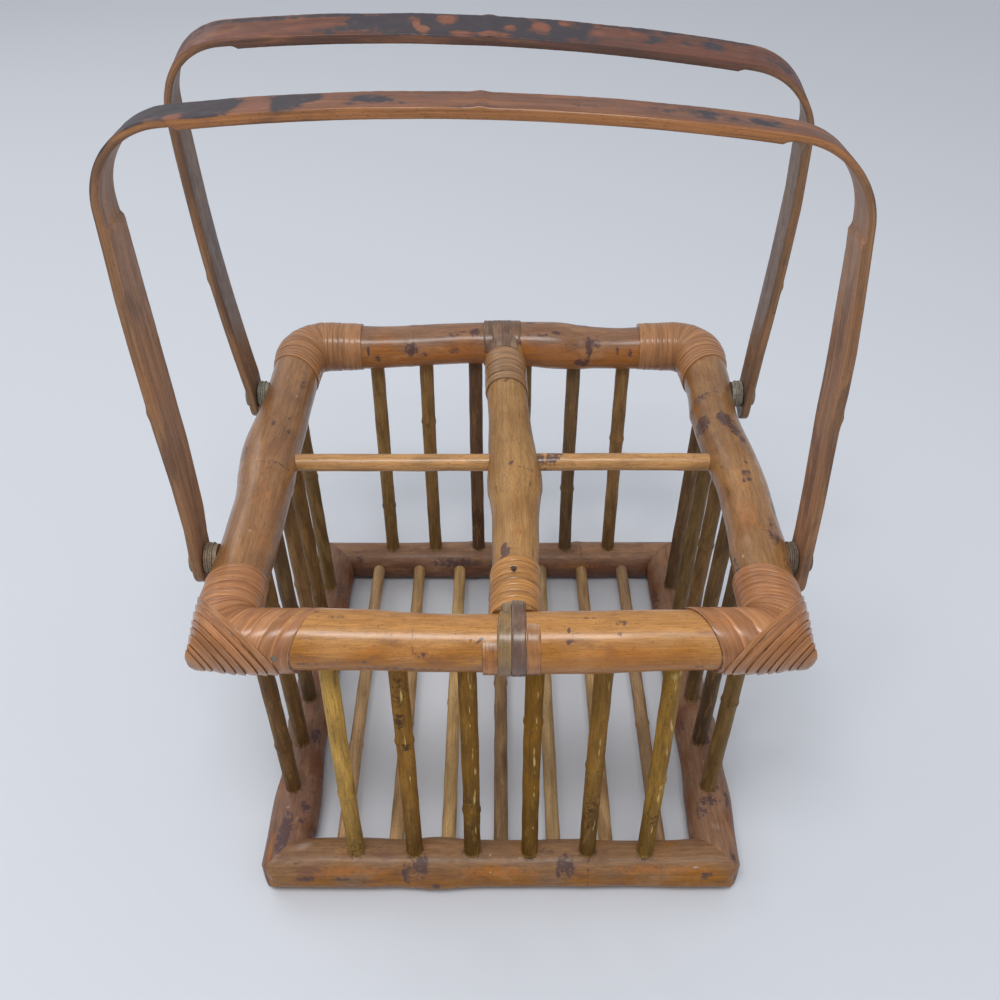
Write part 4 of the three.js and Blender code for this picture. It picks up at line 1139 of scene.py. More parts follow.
def tip_loop(place, radius, columns):
    """The line of a taut strip that crosses a corner's diagonal: (along it, across it, up).

    place is how far in along the diagonal the strip lies from the mitre point."""
    root = math.sqrt(2)
    half = math.acos(np.clip(-place / (radius * math.hypot(root, TIP_TILT)), -1, 1))
    turn = math.atan(TIP_TILT / root)
    sweep = np.linspace(max(-half - turn, -math.pi / 2), min(half - turn, math.pi / 2), columns // 2)
    up = radius * np.sin(sweep)
    along = place - TIP_TILT * up
    across = np.maximum(along + root * radius * np.cos(sweep), 0)
    loop = np.concatenate([np.stack([along, across, up], -1), np.stack([along, -across, up], -1)[::-1]])
    for _ in range(2):
        loop = 0.25 * np.roll(loop, 1, 0) + 0.5 * loop + 0.25 * np.roll(loop, -1, 0)
    return loop


# The profile of one tip strip, which overlaps the next like a shingle
TIP_PROFILE = [(0.0, -0.4), (0.03, 0.7), (0.1, 1.0), (0.28, 0.98), (0.5, 0.8), (0.75, 0.5), (0.97, 0.1)]


# The strips of a tip: where the first starts and the last ends along the diagonal, how many they are,
# how much they draw the corner in and how wide one is in the grain
TIP_START, TIP_END, TIP_BANDS, TIP_SHRINK, TIP_SPAN = 7.4, -19.6, 8, 0.085, 4.4
TIP_END_COLOUR = (206, 170, 128)


def tip_skin(name, corner, tone, seed):
    """The second layer of a front corner: strips that cross its tip like shingles."""
    chance = np.random.default_rng(seed)
    winding = Winding(corner, TIP_SHRINK)

    def ring(place, offset, across, colour, dark, pale):
        along, aside, up = tip_loop(place, TOP_RADIUS + offset, TIP_COLUMNS).T
        x, y = (along + aside) / math.sqrt(2), (along - aside) / math.sqrt(2)
        winding.ring((x, y, up), across, aside + TIP_GRAIN, colour, dark, pale)

    edges = np.linspace(TIP_START, TIP_END, TIP_BANDS + 1)
    edges[1:-1] += chance.uniform(-0.7, 0.7, TIP_BANDS - 1)
    ring(TIP_START, 0.0, 0.0, tone(0, chance), END_DARK, 0.0)
    for number, (first, last) in enumerate(zip(edges, edges[1:])):
        colour = tone(number, chance)
        smoky = chance.choice([0.0, 0.0, 0.15])
        for share, height in TIP_PROFILE:
            place = first + (last - first) * share
            offset = (0.75 + 0.9 * height) * (1 - 0.5 * ease(-place, 8, 19))
            dark = 0.42 if height < 0.2 else smoky
            pale = 0.5 if height == 1.0 else 0.0
            if number == TIP_BANDS - 1:
                pale = max(pale, 0.25 + 0.3 * share)
            ring(place, offset, CANE_GRAIN * number + TIP_SPAN * share, colour, dark, pale)
    ring(TIP_END - 0.5, -0.3, CANE_GRAIN * TIP_BANDS, linear(*TIP_END_COLOUR), 0.0, 0.8)
    return winding.skin(name)


def front_strips(reach, slant, pitch, side_reach, side_lean):
    """Strips that slant along the front rail, fan over the mitre and go on along the side rail."""
    lean = math.tan(math.radians(slant))
    along_end = [(start, lean) for start in even(reach, FAN_APEX, pitch / math.cos(math.atan(lean)))]
    fan_end = [(FAN_APEX, value) for value in even(lean, 1.0, (1 - lean) / 4)]
    fan_side = [(FAN_APEX, value) for value in even(1.0, side_lean, (1 - side_lean) / 7)]
    along_side = [(start, side_lean) for start in even(FAN_APEX, side_reach, 2.5)]
    return (
        strips_of(end_edge, along_end)
        + strips_of(end_edge, fan_end)
        + strips_of(side_edge, fan_side)
        + strips_of(side_edge, along_side)
    )


def rear_strips(reach, side_reach, slant):
    """Strips along the rear rail, round the elbow and along the side rail, where they come to slant."""
    lean = math.tan(math.radians(slant))

    def side_start(place):
        share = (place - ELBOW_RADIUS) / (side_reach - ELBOW_RADIUS)
        return place + share * lean * (FAN_APEX - TOP_RADIUS), share * lean

    along_end = [(start, 0.0) for start in even(reach, ELBOW_RADIUS, 3.6)]
    elbow = [(angle,) for angle in np.linspace(0, math.pi / 2, 10)]
    along_side = [side_start(place) for place in even(ELBOW_RADIUS, side_reach, 3.0)]
    return (
        strips_of(end_edge, along_end)
        + strips_of(elbow_edge, elbow)
        + strips_of(side_edge, along_side)
    )


# Each front binding: reach along the front rail, slant of its strips, their pitch, their lean on the
# side rail and their colour
FRONT_BINDINGS = {
    "left": (51.0, 31.0, 5.8, 0.12, (168, 114, 72)),
    "right": (45.0, 28.0, 7.6, 0.3, (164, 110, 68)),
}
# How far the winding draws the tip of the corner in, how high its strips are crowned, how much they
# differ in tone, and their reach along the side rail without a lean and its gain with it
FRONT_SHRINK, FRONT_CROWN, FRONT_SPREAD = 0.135, 0.32, 0.13
FRONT_SIDE_REACH, FRONT_SIDE_GAIN = 37, 8
# Each rear binding: reach along the rear rail and along the side rail, and slant of its last strips
REAR_BINDING, REAR_COLOUR = (38, 40, 22), (168, 118, 76)
# Its crown, how much its strips differ in tone and how dark its seams are
REAR_CROWN, REAR_SPREAD, REAR_SEAM = 0.12, 0.07, 0.3


def corner_bindings():
    """The four bound corners of the top frame."""
    for hand, side_x in (("left", -1), ("right", 1)):
        x = BASKET_X + side_x * HALF_TOP_WIDTH
        reach, slant, pitch, lean, colour = FRONT_BINDINGS[hand]
        corner = (x, -HALF_TOP_DEPTH, side_x, -1)
        strips = front_strips(reach, slant, pitch, FRONT_SIDE_REACH + FRONT_SIDE_GAIN * lean, lean)
        tone = cane_tone(colour, FRONT_SPREAD)
        name = f"front_{hand}_corner_binding"
        shape = (strips, corner, front_swell, FRONT_CROWN, tone, BINDING_SEED + side_x)
        seat(wound_skin(f"{name}_turns", *shape, shrink=FRONT_SHRINK), "basket", "cane", name)
        seat(tip_skin(f"{name}_tip", corner, tone, TIP_SEED + side_x), "basket", "cane", name)
        corner = (x, HALF_TOP_DEPTH, side_x, 1)
        tone = cane_tone(REAR_COLOUR, REAR_SPREAD)
        name = f"rear_{hand}_corner_binding"
        strips = rear_strips(*REAR_BINDING)
        shape = (strips, corner, rear_swell, REAR_CROWN, tone, REAR_BINDING_SEED + side_x)
        seat(wound_skin(f"{name}_turns", *shape, seam=REAR_SEAM), "basket", "cane", name)


def front_swell(share):
    """How thick a front binding is at a share of its run."""
    return 0.5 + 0.2 * math.sin(math.pi * share)


def rear_swell(share):
    """How thick a rear binding is at a share of its run, thickest round the elbow."""
    return 0.5 + 1.2 * math.sin(math.pi * share)


# The turns of cane round the center rail: how far in from the end rail the first starts, the width
# of each with the depth of its groove, and their colour
FRONT_TURNS = (11.2, [(4.0, 0.7)] * 8, (174, 122, 64))
REAR_TURNS = (20.5, [(4.5, 0.1)] * 5 + [(4.5, 0.35), (3.9, 1.0), (3.8, 0.6)], (150, 112, 74))
# How much of its pitch a turn fills, how deep its groove is and how dark
TURN_SHARE, GROOVE_DEPTH, GROOVE_DARK = 0.99, 0.75, 0.6
# The profile of a turn: share of its width, lift and how much of its groove it has
TURN_PROFILE = [
    (0, 0.8, 1), (0.05, 0.84, 0.6), (0.2, 0.9, 0.1), (0.5, 0.95, 0), (0.8, 0.88, 0.1), (0.96, 0.82, 0.5),
    (1, 0.8, 1), (0.5, -0.3, 0),
]


def lashings():
    """Cane wound round the center rail at both its ends."""
    for end, side, (inset, turns, colour) in (("front", -1, FRONT_TURNS), ("rear", 1, REAR_TURNS)):
        widths, depths = [np.array(values) for values in zip(*turns)]
        index = np.arange(len(widths) * TURN_STEPS + 1)[:, None]
        turn = index / TURN_STEPS
        edges = np.concatenate([[0], np.cumsum(widths)])
        start = HALF_TOP_DEPTH - inset - np.interp(turn, np.arange(len(edges)), edges)
        middles = np.arange(len(widths)) + 0.5
        width = np.interp(turn, middles, widths) * TURN_SHARE
        depth = np.interp(turn, middles, depths)
        share, lift, groove = [np.array(values, float)[None] for values in zip(*TURN_PROFILE)]
        wander = 0.3 * ripple(index * 0.5, 0 * turn, WANDER_SEED + side, 40)
        y = side * (start - width * share + wander)
        aside, up, inner = shape_at(CENTER_SHAPE, y)
        ends = ease(np.minimum(index, index[-1] - index), 0, 5)
        raised = (lift - GROOVE_DEPTH * groove * depth) * (0.3 + 0.7 * ends)
        radius = inner - 0.1 + raised + 0.08 * ripple(index * 0.8, 0 * turn, TURN_SEED + side, 50)
        angle = TURN * turn + math.pi
        x = BASKET_X + CENTER_OFFSET + aside + radius * np.sin(angle)
        z = TOP_HEIGHT + up + radius * np.cos(angle)
        across = CANE_GRAIN * (index // TURN_STEPS) + width * share
        grain = np.stack([across, radius * np.sin(angle), radius * np.cos(angle)], -1)
        drift = ripple(index * 1.0, 0 * turn, TURN_TONE_SEED + side, 60)
        tone = linear(*colour) * (1 + 0.12 * drift)[..., None]
        rings = np.stack([x, y, z], -1)
        marks = np.zeros(rings.shape)
        marks[..., BURN_AND_SHADE] = GROOVE_DARK * groove * depth
        name = f"{end}_center_lashing"
        piece = skin(f"{name}_cane", rings, grain, tone, marks, MATERIALS["cane"])
        seat(piece, "basket", "cane", name)


# Each strip of a saddle strap: middle across, width, thickness, reach of its tongue, or 0 for none, the
# angle in degrees on the end rail where one without a tongue starts, colour and burn
FRONT_STRAP = [
    (-9.9, 6.6, 0.45, 0.0, 42, (170, 108, 52), 0.5),
    (-3.5, 6.6, 1.0, 13.3, 0, (132, 104, 66), 0.35),
    (2.9, 6.6, 1.1, 13.9, 0, (110, 84, 68), 0.75),
    (9.4, 6.4, 0.6, 0.0, 1, (160, 106, 58), 0.65),
]
REAR_STRAP = [
    (-12.3, 6.3, 0.8, 22.6, 0, (118, 88, 66), 0.2),
    (-6.6, 6.2, 1.0, 22.8, 0, (126, 94, 72), 0.2),
    (-0.8, 6.2, 1.0, 22.8, 0, (116, 86, 66), 0.25),
    (4.9, 6.2, 0.8, 22.6, 0, (126, 92, 68), 0.2),
]
STRAP_PROFILE = [
    (-0.5, -0.2), (-0.49, 0.6), (-0.42, 0.95), (-0.25, 1.0), (-0.1, 0.92), (0.1, 1.0), (0.25, 0.94),
    (0.42, 0.97), (0.49, 0.6), (0.5, -0.2),
]
# The rows of a strip: on the center rail above, round the end rail and on the center rail below
STRAP_ROWS = (10, 52, 8)
# The angle on the end rail where the strips without a tongue end, and how far the tongues lie above
# the center rail in front and at the rear
STRAP_LAST_ANGLE, STRAP_LIFTS = 204, {-1: 0.85, 1: 0.35}


def strap_rest(side, offset, tongue, start, lift):
    """Where a strip lies at an offset from the center rail: (inward, up, normal inward, normal up).

    start is the angle in degrees on the end rail where a strip without a tongue starts. lift is how
    far a tongue lies above the center rail."""
    end_shape = FRONT_SHAPE if side < 0 else REAR_SHAPE
    _, end_rise, end_radius = [float(v) for v in shape_at(end_shape, CENTER_OFFSET)]
    own_aside, own_rise, own_radius = [float(v) for v in shape_at(CENTER_SHAPE, side * (HALF_TOP_DEPTH - 12))]
    inner = end_radius + 0.1
    lead, middle, tail = STRAP_ROWS
    if not tongue:
        angle = np.radians(np.linspace(start, STRAP_LAST_ANGLE, sum(STRAP_ROWS)))[:, None] + 0 * offset
        return -inner * np.sin(angle), inner * np.cos(angle) + end_rise, -np.sin(angle), np.cos(angle)
    dome = np.sqrt(np.clip(own_radius**2 - (offset - own_aside) ** 2, 9, None)) + lift
    above, below = dome + own_rise - end_rise, dome - own_rise + end_rise
    crossing = [np.sqrt(np.clip(inner**2 - np.minimum(v, inner - 0.5) ** 2, 1, None)) for v in (above, below)]
    first, last = -np.arcsin(crossing[0] / inner), math.pi + np.arcsin(crossing[1] / inner)
    share = np.linspace(0, 1, middle)[:, None]
    angle = first[lead:-tail] * (1 - share) + last[lead:-tail] * share
    on_top = tongue + (crossing[0][:lead] + 0.4 - tongue) * np.linspace(0, 1, lead)[:, None]
    under = crossing[1][-tail:] + 0.4
    under = under + (tongue - under) * np.linspace(0, 1, tail)[:, None]
    flat_top, flat_low = 0 * on_top, 0 * under
    inward = np.concatenate([on_top, -inner * np.sin(angle), under])
    up = np.concatenate([above[:lead], inner * np.cos(angle), -below[-tail:]])
    normal_in = np.concatenate([flat_top, -np.sin(angle), flat_low])
    normal_up = np.concatenate([flat_top + 1, np.cos(angle), flat_low - 1])
    return inward, up + end_rise, normal_in, normal_up


def strap_strip(name, side, spec, seed):
    """A split strip folded round an end rail, its tongues on the center rail if it has any."""
    middle, width, thickness, tongue, start, colour, burn = spec
    profile = np.array(STRAP_PROFILE)[None]
    count = sum(STRAP_ROWS)
    place = np.arange(count)
    to_end = np.minimum(place, count - 1 - place)[:, None]
    thick = thickness * (0.35 + 0.65 * ease(to_end, 0, 4))
    run = STRAP_STEP * place
    wobble = 0.15 * ripple(run, 0.0 * run, seed, 30)[:, None]
    narrow = 0.3 * (1 - ease(place, 0, 26))[:, None] * (side < 0) * (tongue > 0) * (middle < 0)
    across = profile[..., 0] * width * (1 - narrow) + 0.5 * narrow * width + wobble
    gather = 1 - 0.22 * (1 - ease(to_end, 0, STRAP_ROWS[0] + 6)) * (side > 0)
    own_aside = float(shape_at(CENTER_SHAPE, side * HALF_TOP_DEPTH)[0])
    offset = own_aside + (middle + across - own_aside) * gather
    inward, up, normal_in, normal_up = strap_rest(side, offset, tongue, start, STRAP_LIFTS[side])
    height = profile[..., 1] * thick
    x = BASKET_X + CENTER_OFFSET + offset
    y = side * (HALF_TOP_DEPTH - inward - height * normal_in)
    z = TOP_HEIGHT + up + height * normal_up
    rings = np.stack([x, y, z], -1)
    grain = np.stack([across + STRAP_GRAIN * seed, run[:, None] + 0 * across, height], -1)
    tone = linear(*colour) * (1 + 0.2 * ripple(run, 0.0 * run, seed + 5, 24))[:, None, None]
    marks = np.zeros(rings.shape)
    spot = np.exp(-(((place - 0.6 * count) / 5) ** 2))[:, None]
    marks[..., BURN_AND_SHADE] = np.maximum(np.where(profile[..., 1] < 0.7, 0.5, 0.0), burn * spot)
    torn, reach = (0.5, 14) if tongue else (0.62, 16)
    pale_amount = torn * (1 - ease(place, 0, reach))[:, None] * (side < 0)
    marks[..., PALE] = np.maximum(np.where(np.abs(profile[..., 0]) == 0.42, 0.4, 0.0), pale_amount)
    return skin(name, rings, grain, tone, marks, MATERIALS["strap"], STRAP_CREASE)


def straps():
    """The split straps over the front and rear rails."""
    for end, side, specs in (("front", -1, FRONT_STRAP), ("rear", 1, REAR_STRAP)):
        for number, spec in enumerate(specs, 1):
            name, seed = f"{end}_saddle_strap", STRAP_SEED + 10 * side + number
            seat(strap_strip(f"{name}_strip_{number}", side, spec, seed), "basket", "strap", name)


# Handles

# Each handle: its side, how high its bar is, how far it leans inward in degrees, how far its bar stands
# to the left, how far the bar's right end droops, its seed and how far its left and right feet end
# below the pivot
HANDLES = {
    "front": dict(side=-1, rise=218.5, lean=2.5, sway=7.5, droop=3.7, seed=501, drops=(12.0, 19.0)),
    "rear": dict(side=1, rise=221.5, lean=10.0, sway=4.7, droop=7.5, seed=502, drops=(14.0, 17.0)),
}
# How each leg stands off its straight line: height, how far outward and its twist in degrees
LEG_BOWS = {
    ("front", -1): [
        (10, 0, 0), (25, -1.2, 1.5), (50, -1.3, 3), (65, -1.1, 5), (80, -0.6, 5.5), (120, 0, 5.5),
        (140, 0.2, 4.5), (160, 0, 2), (176, 0, 0),
    ],
    ("front", 1): [
        (10, 0, 0), (40, 0.7, 1), (80, 0.9, 2), (100, 1.7, 3), (120, 1.9, 3.5), (140, 1.6, 2),
        (160, 1.2, 0), (180, 0.4, 0), (195, 0, 0),
    ],
    ("rear", -1): [
        (10, 0, 0), (20, 0.6, 0), (40, 1.6, 0), (60, 2.4, 0), (80, 2.9, 0), (100, 3.2, 0), (120, 3.0, 0),
        (140, 2.5, 0), (160, 1.8, 0), (175, 1.0, 0), (190, 0, 0),
    ],
    ("rear", 1): [
        (10, 0, 0), (40, 0.6, 0), (60, 1.4, 0), (80, 1.9, 0), (100, 2.4, 0), (120, 2.6, 0),
        (140, 2.7, 0), (160, 1.9, 0), (180, 1.0, 0), (200, 0, 0),
    ],
}


# Where the rows of a foot lie, how far past a bend the paring ends, the knots in the middle of each
# leg and of the bar, and how much the end of a foot is worn
FOOT_ROWS = [0.12, 0.5, 1.1, 2.0, 3.2, 4.6, 6.2, 7.8, 9.4]
PARED_ENDS = (5.0, 7.5)
KNOT_LENGTH, KNOT_RISE, FOOT_WEAR = 2.6, 0.6, 0.7


def handle_half(rise, drop):
    """Half of a handle's outer line, from the leg's end to the bar's middle.

    Each row is x, z, angle out, thickness, width, how proud it is and the run so far."""
    bar_radius = (LEG_OUTER - HANDLE_BEND) / math.sin(HANDLE_CROWN) + HANDLE_BEND
    bar_center = rise - bar_radius
    leg_top = bar_center + (bar_radius - HANDLE_BEND) * math.cos(HANDLE_CROWN)
    sweep = math.pi / 2 - HANDLE_CROWN
    legs = np.concatenate([np.array(FOOT_ROWS) - drop, np.arange(-drop + 11, leg_top, LEG_STEP)])
    rows = [(-LEG_OUTER, z, 0.0, z + drop) for z in legs]
    leg_run = leg_top + drop
    for angle in np.linspace(0, sweep, BEND_STEPS):
        x = -LEG_OUTER + HANDLE_BEND * (1 - math.cos(angle))
        rows.append((x, leg_top + HANDLE_BEND * math.sin(angle), angle, leg_run + HANDLE_BEND * angle))
    bend_run = leg_run + HANDLE_BEND * sweep
    bar_run = HANDLE_CROWN * bar_radius
    for run in np.arange(BAR_STEP, bar_run, BAR_STEP).tolist() + [bar_run]:
        left = (bar_run - run) / bar_radius
        x, z = -bar_radius * math.sin(left), bar_center + bar_radius * math.cos(left)
        rows.append((x, z, math.pi / 2 - left, bend_run + run))
    rows = np.array(rows)
    run = rows[:, 3]
    near, far = PARED_ENDS
    pared = ease(run, leg_run - far, leg_run - near) - ease(run, bend_run + near, bend_run + far)
    thickness = STRIP_THICKNESS - (STRIP_THICKNESS - PARED_THICKNESS) * pared
    knots = [np.exp(-(((run - place) / KNOT_LENGTH) ** 2)) for place in (drop + leg_top / 2, run[-1])]
    foot_radius = STRIP_WIDTH / 2
    width = 2 * np.sqrt(foot_radius**2 - np.clip(foot_radius - run, 0, None) ** 2)
    end = 1 - ease(run, 0, 2.0)
    proud = KNOT_RISE * sum(knots) - FOOT_WEAR * end
    thickness = thickness + proud - FOOT_WEAR * end
    return np.column_stack([rows[:, :3], thickness, width, proud, run])


def strip_section(corner_points=4, bevel=1.0):
    """Points of the strip's section: side and face they lie on, and their place on the rounding."""
    quarter = np.linspace(0, math.pi / 2, corner_points)
    points = []
    for side, face in ((1, 1), (-1, 1), (-1, -1), (1, -1)):
        base = math.atan2(face, side) - math.pi / 4
        points += [(side, face, bevel * math.cos(base + t), bevel * math.sin(base + t)) for t in quarter]
        if (side, face) == (1, 1):
            points += [(place, 1, 0, bevel) for place in np.linspace(0.8, -0.8, 9)]
        elif (side, face) == (-1, 1):
            points.append((-1, 0.0, -bevel, 0))
        elif (side, face) == (-1, -1):
            points += [(place, -1, 0, -bevel) for place in np.linspace(-0.75, 0.75, 5)]
    points.append((1, 0.0, bevel, 0))
    return np.array(points), bevel


def handle_rings(spec):
    """The whole strip as rings, with the grain place, face and height of each point."""
    left, right = [handle_half(spec["rise"], drop) for drop in spec["drops"]]
    section, bevel = strip_section()
    rings, grain, faces = [], [], []
    total = left[-1, 6]
    for half, hand in ((left, -1), (right[:-1][::-1], 1)):
        x, z, angle, thickness, width, proud, run = [half[:, i][:, None] for i in range(7)]
        run = run if hand < 0 else 2 * total - run
        side, face, round_side, round_face = section.T[:, None]
        wave = 0.12 * ripple(run, 2.0 * side, spec["seed"], 60)
        wave = wave + 0.06 * ripple(run, 3.0 * face, spec["seed"] + 1, 9)
        across = side * np.clip(width / 2 - bevel - 0.15, 0.1, None) + round_side + wave * (round_side != 0)
        middle = proud - thickness / 2
        depth = middle + face * (thickness / 2 - bevel - 0.16) + round_face + 0.5 * wave * (round_face > 0)
        px = -hand * (x - depth * np.cos(angle))
        pz = z + depth * np.sin(angle)
        rings.append(np.stack([px, across + 0 * px, pz], -1))
        grain.append(np.stack([run + 0 * px, across + 0 * px, depth + 0 * px], -1))
        faces.append(np.broadcast_to(round_face / bevel, px.shape))
    return np.concatenate(rings), np.concatenate(grain), np.concatenate(faces)


# Marks on the outer faces of the handles, found as those on the poles were: run from the left end,
# place across, half length, half width and strength
HANDLE_MARKS = {
    "front": marked(
        burn=[
            (196, 2, 24, 12, 1.2), (222, 2, 18, 12, 1.5), (243, 1, 16, 13, 1.6), (258, 0, 9, 14, 1.5),
            (266, 3, 5, 9, 1.1), (287, 1, 8, 11, 1.5), (295, 4, 5, 7, 1.2), (316, 0, 9, 5, 1.1),
            (311, -5, 4, 3, 0.9), (323, -2, 5, 3, 0.9), (330, -6, 1.6, 1.8, 0.6), (420, 2, 9, 7, 0.55),
            (435, 0, 12, 8, 0.6), (446, -3, 6, 5, 0.65), (457, -1, 7, 5, 1.05), (355, -9, 9, 2.5, 0.45),
            (390, -2, 9, 4, 0.4), (520, 0, 20, 10, 0.5),
        ],
        warm=[(246, -8, 4, 3, 0.9), (276, -3, 6, 8, 0.8), (305, -3, 9, 6, 0.4)],
    ),
    "rear": marked(
        burn=[
            (257, 7, 35, 2, 0.9), (292, 8, 30, 2, 0.9), (288, -6, 4, 1.8, 0.9), (294, -8, 3, 2.2, 0.9),
            (297, -5, 5, 3, 1), (301, -6, 3, 3, 0.9), (309, 0, 9, 8, 1.3), (322, 0, 10, 12, 1.5),
            (337, 0, 14, 13, 1.6), (354, 0, 13, 13, 1.6), (369, 1, 13, 13, 1.6), (387, 1, 11, 13, 1.5),
            (402, 0, 8, 9, 1.2), (434, 0, 4, 3.5, 1.05), (430, -3, 3, 2, 0.9), (432, 7, 12, 2, 0.8),
            (460, 1, 5, 4, 1.05), (448, 0, 4, 3, 0.7), (421, -4, 3, 2, 0.7), (428, 8, 22, 1.8, 0.9),
            (465, 9, 22, 1.8, 0.9), (225, 0, 18, 9, 0.35), (500, 0, 30, 9, 0.45),
        ],
        warm=[
            (331, 0, 2, 5, 0.9), (334, -5, 3, 3.4, 0.9), (344, 4, 4.8, 4.4, 0.95),
            (351, -8, 5.6, 2.4, 0.85), (363, -8, 6.8, 2.4, 0.85), (369, -1, 3.2, 3.2, 0.9),
            (383, 1, 4.6, 5.6, 0.95), (393, 6, 3, 2.4, 0.85), (408, 0, 5, 4, 0.6), (276, -4, 15, 4, 0.4),
            (254, -5, 10, 4, 0.35),
        ],
    ),
}
# Each handle's tones: outer face, edges of the bar, edges of the legs and inner face
HANDLE_TONES = {
    "front": ((120, 78, 56), (158, 106, 64), (142, 104, 72), (162, 120, 90)),
    "rear": ((104, 62, 47), (102, 72, 60), (142, 106, 74), (124, 96, 76)),
}


def handle_marks(run, across, face, marks):
    """The marks on the outer face of a handle, with less burn where a warm mark lies."""
    field = np.zeros(run.shape + (3,))
    for place, middle, length, width, channel, strength in marks:
        spread = ((run - place) / length) ** 2 + ((across - middle) / width) ** 2
        value = strength * np.exp(-spread) * ease(face, -0.2, 0.4)
        field[..., channel] = np.maximum(field[..., channel], value)
    field[..., BURN_AND_SHADE] *= 1 - np.clip(1.7 * field[..., WARM], 0, 1)
    return field


def bowed(rings, end):
    """The strip with its legs bowed and twisted."""
    for hand in (-1, 1):
        table = np.array(LEG_BOWS[end, hand], float)
        height = rings[..., 2].mean(1, keepdims=True)
        away = np.interp(height, table[:, 0], table[:, 1])
        twist = np.radians(np.interp(height, table[:, 0], table[:, 2]))
        shift = hand * (away - rings[..., 1] * np.sin(twist))
        rings[..., 0] += np.where(hand * rings[..., 0].mean(1, keepdims=True) > 0, shift, 0)
    return rings


def handle(end, spec):
    """One handle: a strip pared thin inside its bends, standing swayed and drooped as it does."""
    rings, grain, face = handle_rings(spec)
    rings = bowed(rings, end)
    share = np.clip((rings[..., 2] - SWAY_START) / (spec["rise"] - SWAY_START), 0, None)
    rings[..., 2] -= share * spec["droop"] * rings[..., 0] / LEG_OUTER
    rings[..., 0] -= share * spec["sway"]
    lean = spec["side"] * math.radians(spec["lean"])
    y, z = rings[..., 1].copy(), rings[..., 2].copy()
    rings[..., 1] = y * math.cos(lean) - z * math.sin(lean) + spec["side"] * PIVOT_SPREAD
    rings[..., 2] = y * math.sin(lean) + z * math.cos(lean) + TOP_HEIGHT
    rings[..., 0] += BASKET_X
    run, across = grain[..., 0], grain[..., 1]
    outer, bar_edge, leg_edge, inner = [linear(*tone) for tone in HANDLE_TONES[end]]
    on_leg = ease(np.abs(run - run.max() / 2), 105, 150)[..., None]
    edge = bar_edge + (leg_edge - bar_edge) * on_leg
    outside = ease(face, 0.3, 0.9)[..., None]
    inside = ease(-face, 0.3, 0.9)[..., None]
    tone = edge + (outer - edge) * outside + (inner - edge) * inside
    tone = tone * (1 + 0.12 * ripple(run, across / 4, spec["seed"] + 3, 120))[..., None]
    marks = handle_marks(run, across, face, HANDLE_MARKS[end])
    # A painted highlight along one edge of the front bar's outer face, put in the pale channel
    edge_highlight = np.exp(-(((face - 0.6) / 0.3) ** 2)) * (across < 0) * ease(run, 280, 330) * ease(-run, -470, -400)
    if end == "front":
        marks[..., PALE] = np.maximum(marks[..., PALE], 0.62 * edge_highlight)
    grain = grain + np.array([HANDLE_GRAIN * spec["side"], 0, 0])
    piece = skin(f"{end}_handle_strip", rings, grain, tone, marks, MATERIALS["handle"], HANDLE_CREASE)
    seat(piece, f"{end}_handle", "handle", f"{end}_handle")


# Fastenings


def turned(name, profile, origin, direction, tint, columns=BOLT_COLUMNS):
    """A round piece of metal from (distance, radius) pairs along a direction."""
    direction = np.array(direction, float)
    side = np.array([0.0, 1.0, 0.0]) if abs(direction[1]) < 0.5 else np.array([1.0, 0.0, 0.0])
    side = side - direction * (side @ direction)
    side /= np.linalg.norm(side)
    up = np.cross(direction, side)
    angle = np.linspace(0, TURN, columns, endpoint=False)[None]
    distance = np.array([p[0] for p in profile])[:, None]
    radius = np.array([p[1] for p in profile])[:, None]
    a, b = radius * np.cos(angle), radius * np.sin(angle)
    points = np.array(origin, float) + distance[..., None] * direction
    points = points + a[..., None] * side + b[..., None] * up
    grain = np.stack([distance + 0 * a, a, b], -1)
    return skin(name, points, grain, np.array(tint), np.zeros(3), MATERIALS["metal"], METAL_CREASE)


def dome(radius, height, start, steps=7):
    """The profile of a low round head."""
    return [
        (start + height * math.sin(t), max(radius * math.cos(t), 0.02))
        for t in np.linspace(0, math.pi / 2, steps)
    ]


WASHER_PROFILE = [(0, 7.55), (0.1, 7.85), (0.25, 8.0), (0.8, 8.0), (0.95, 7.85), (1.04, 7.55)]
# How dark and brown the metal of each pivot has become
PIVOT_TINTS = {
    ("front", "left"): (0.78, 0.64, 0.52),
    ("front", "right"): (0.5, 0.41, 0.35),
    ("rear", "left"): (0.8, 0.82, 0.78),
    ("rear", "right"): (0.86, 0.85, 0.82),
}


# A bolt: how far it is sunk in the rail, its radius, the rim of its head, and the dome on the rim
BOLT_SUNK, BOLT_RADIUS = 12, 2.4
BOLT_RIM = [(0, 6.4), (0.2, 6.8), (1.5, 6.8), (1.7, 6.5)]
DOME_RADIUS, DOME_RISE, DOME_START = 5.6, 0.75, 1.8
# The spacer inside the pile of washers, their number and how much smaller every second one is
SPACER_PROFILE = [(10.0, 7.2), (11.9, 7.2)]
WASHERS, WASHER_STEP = 4, 0.25


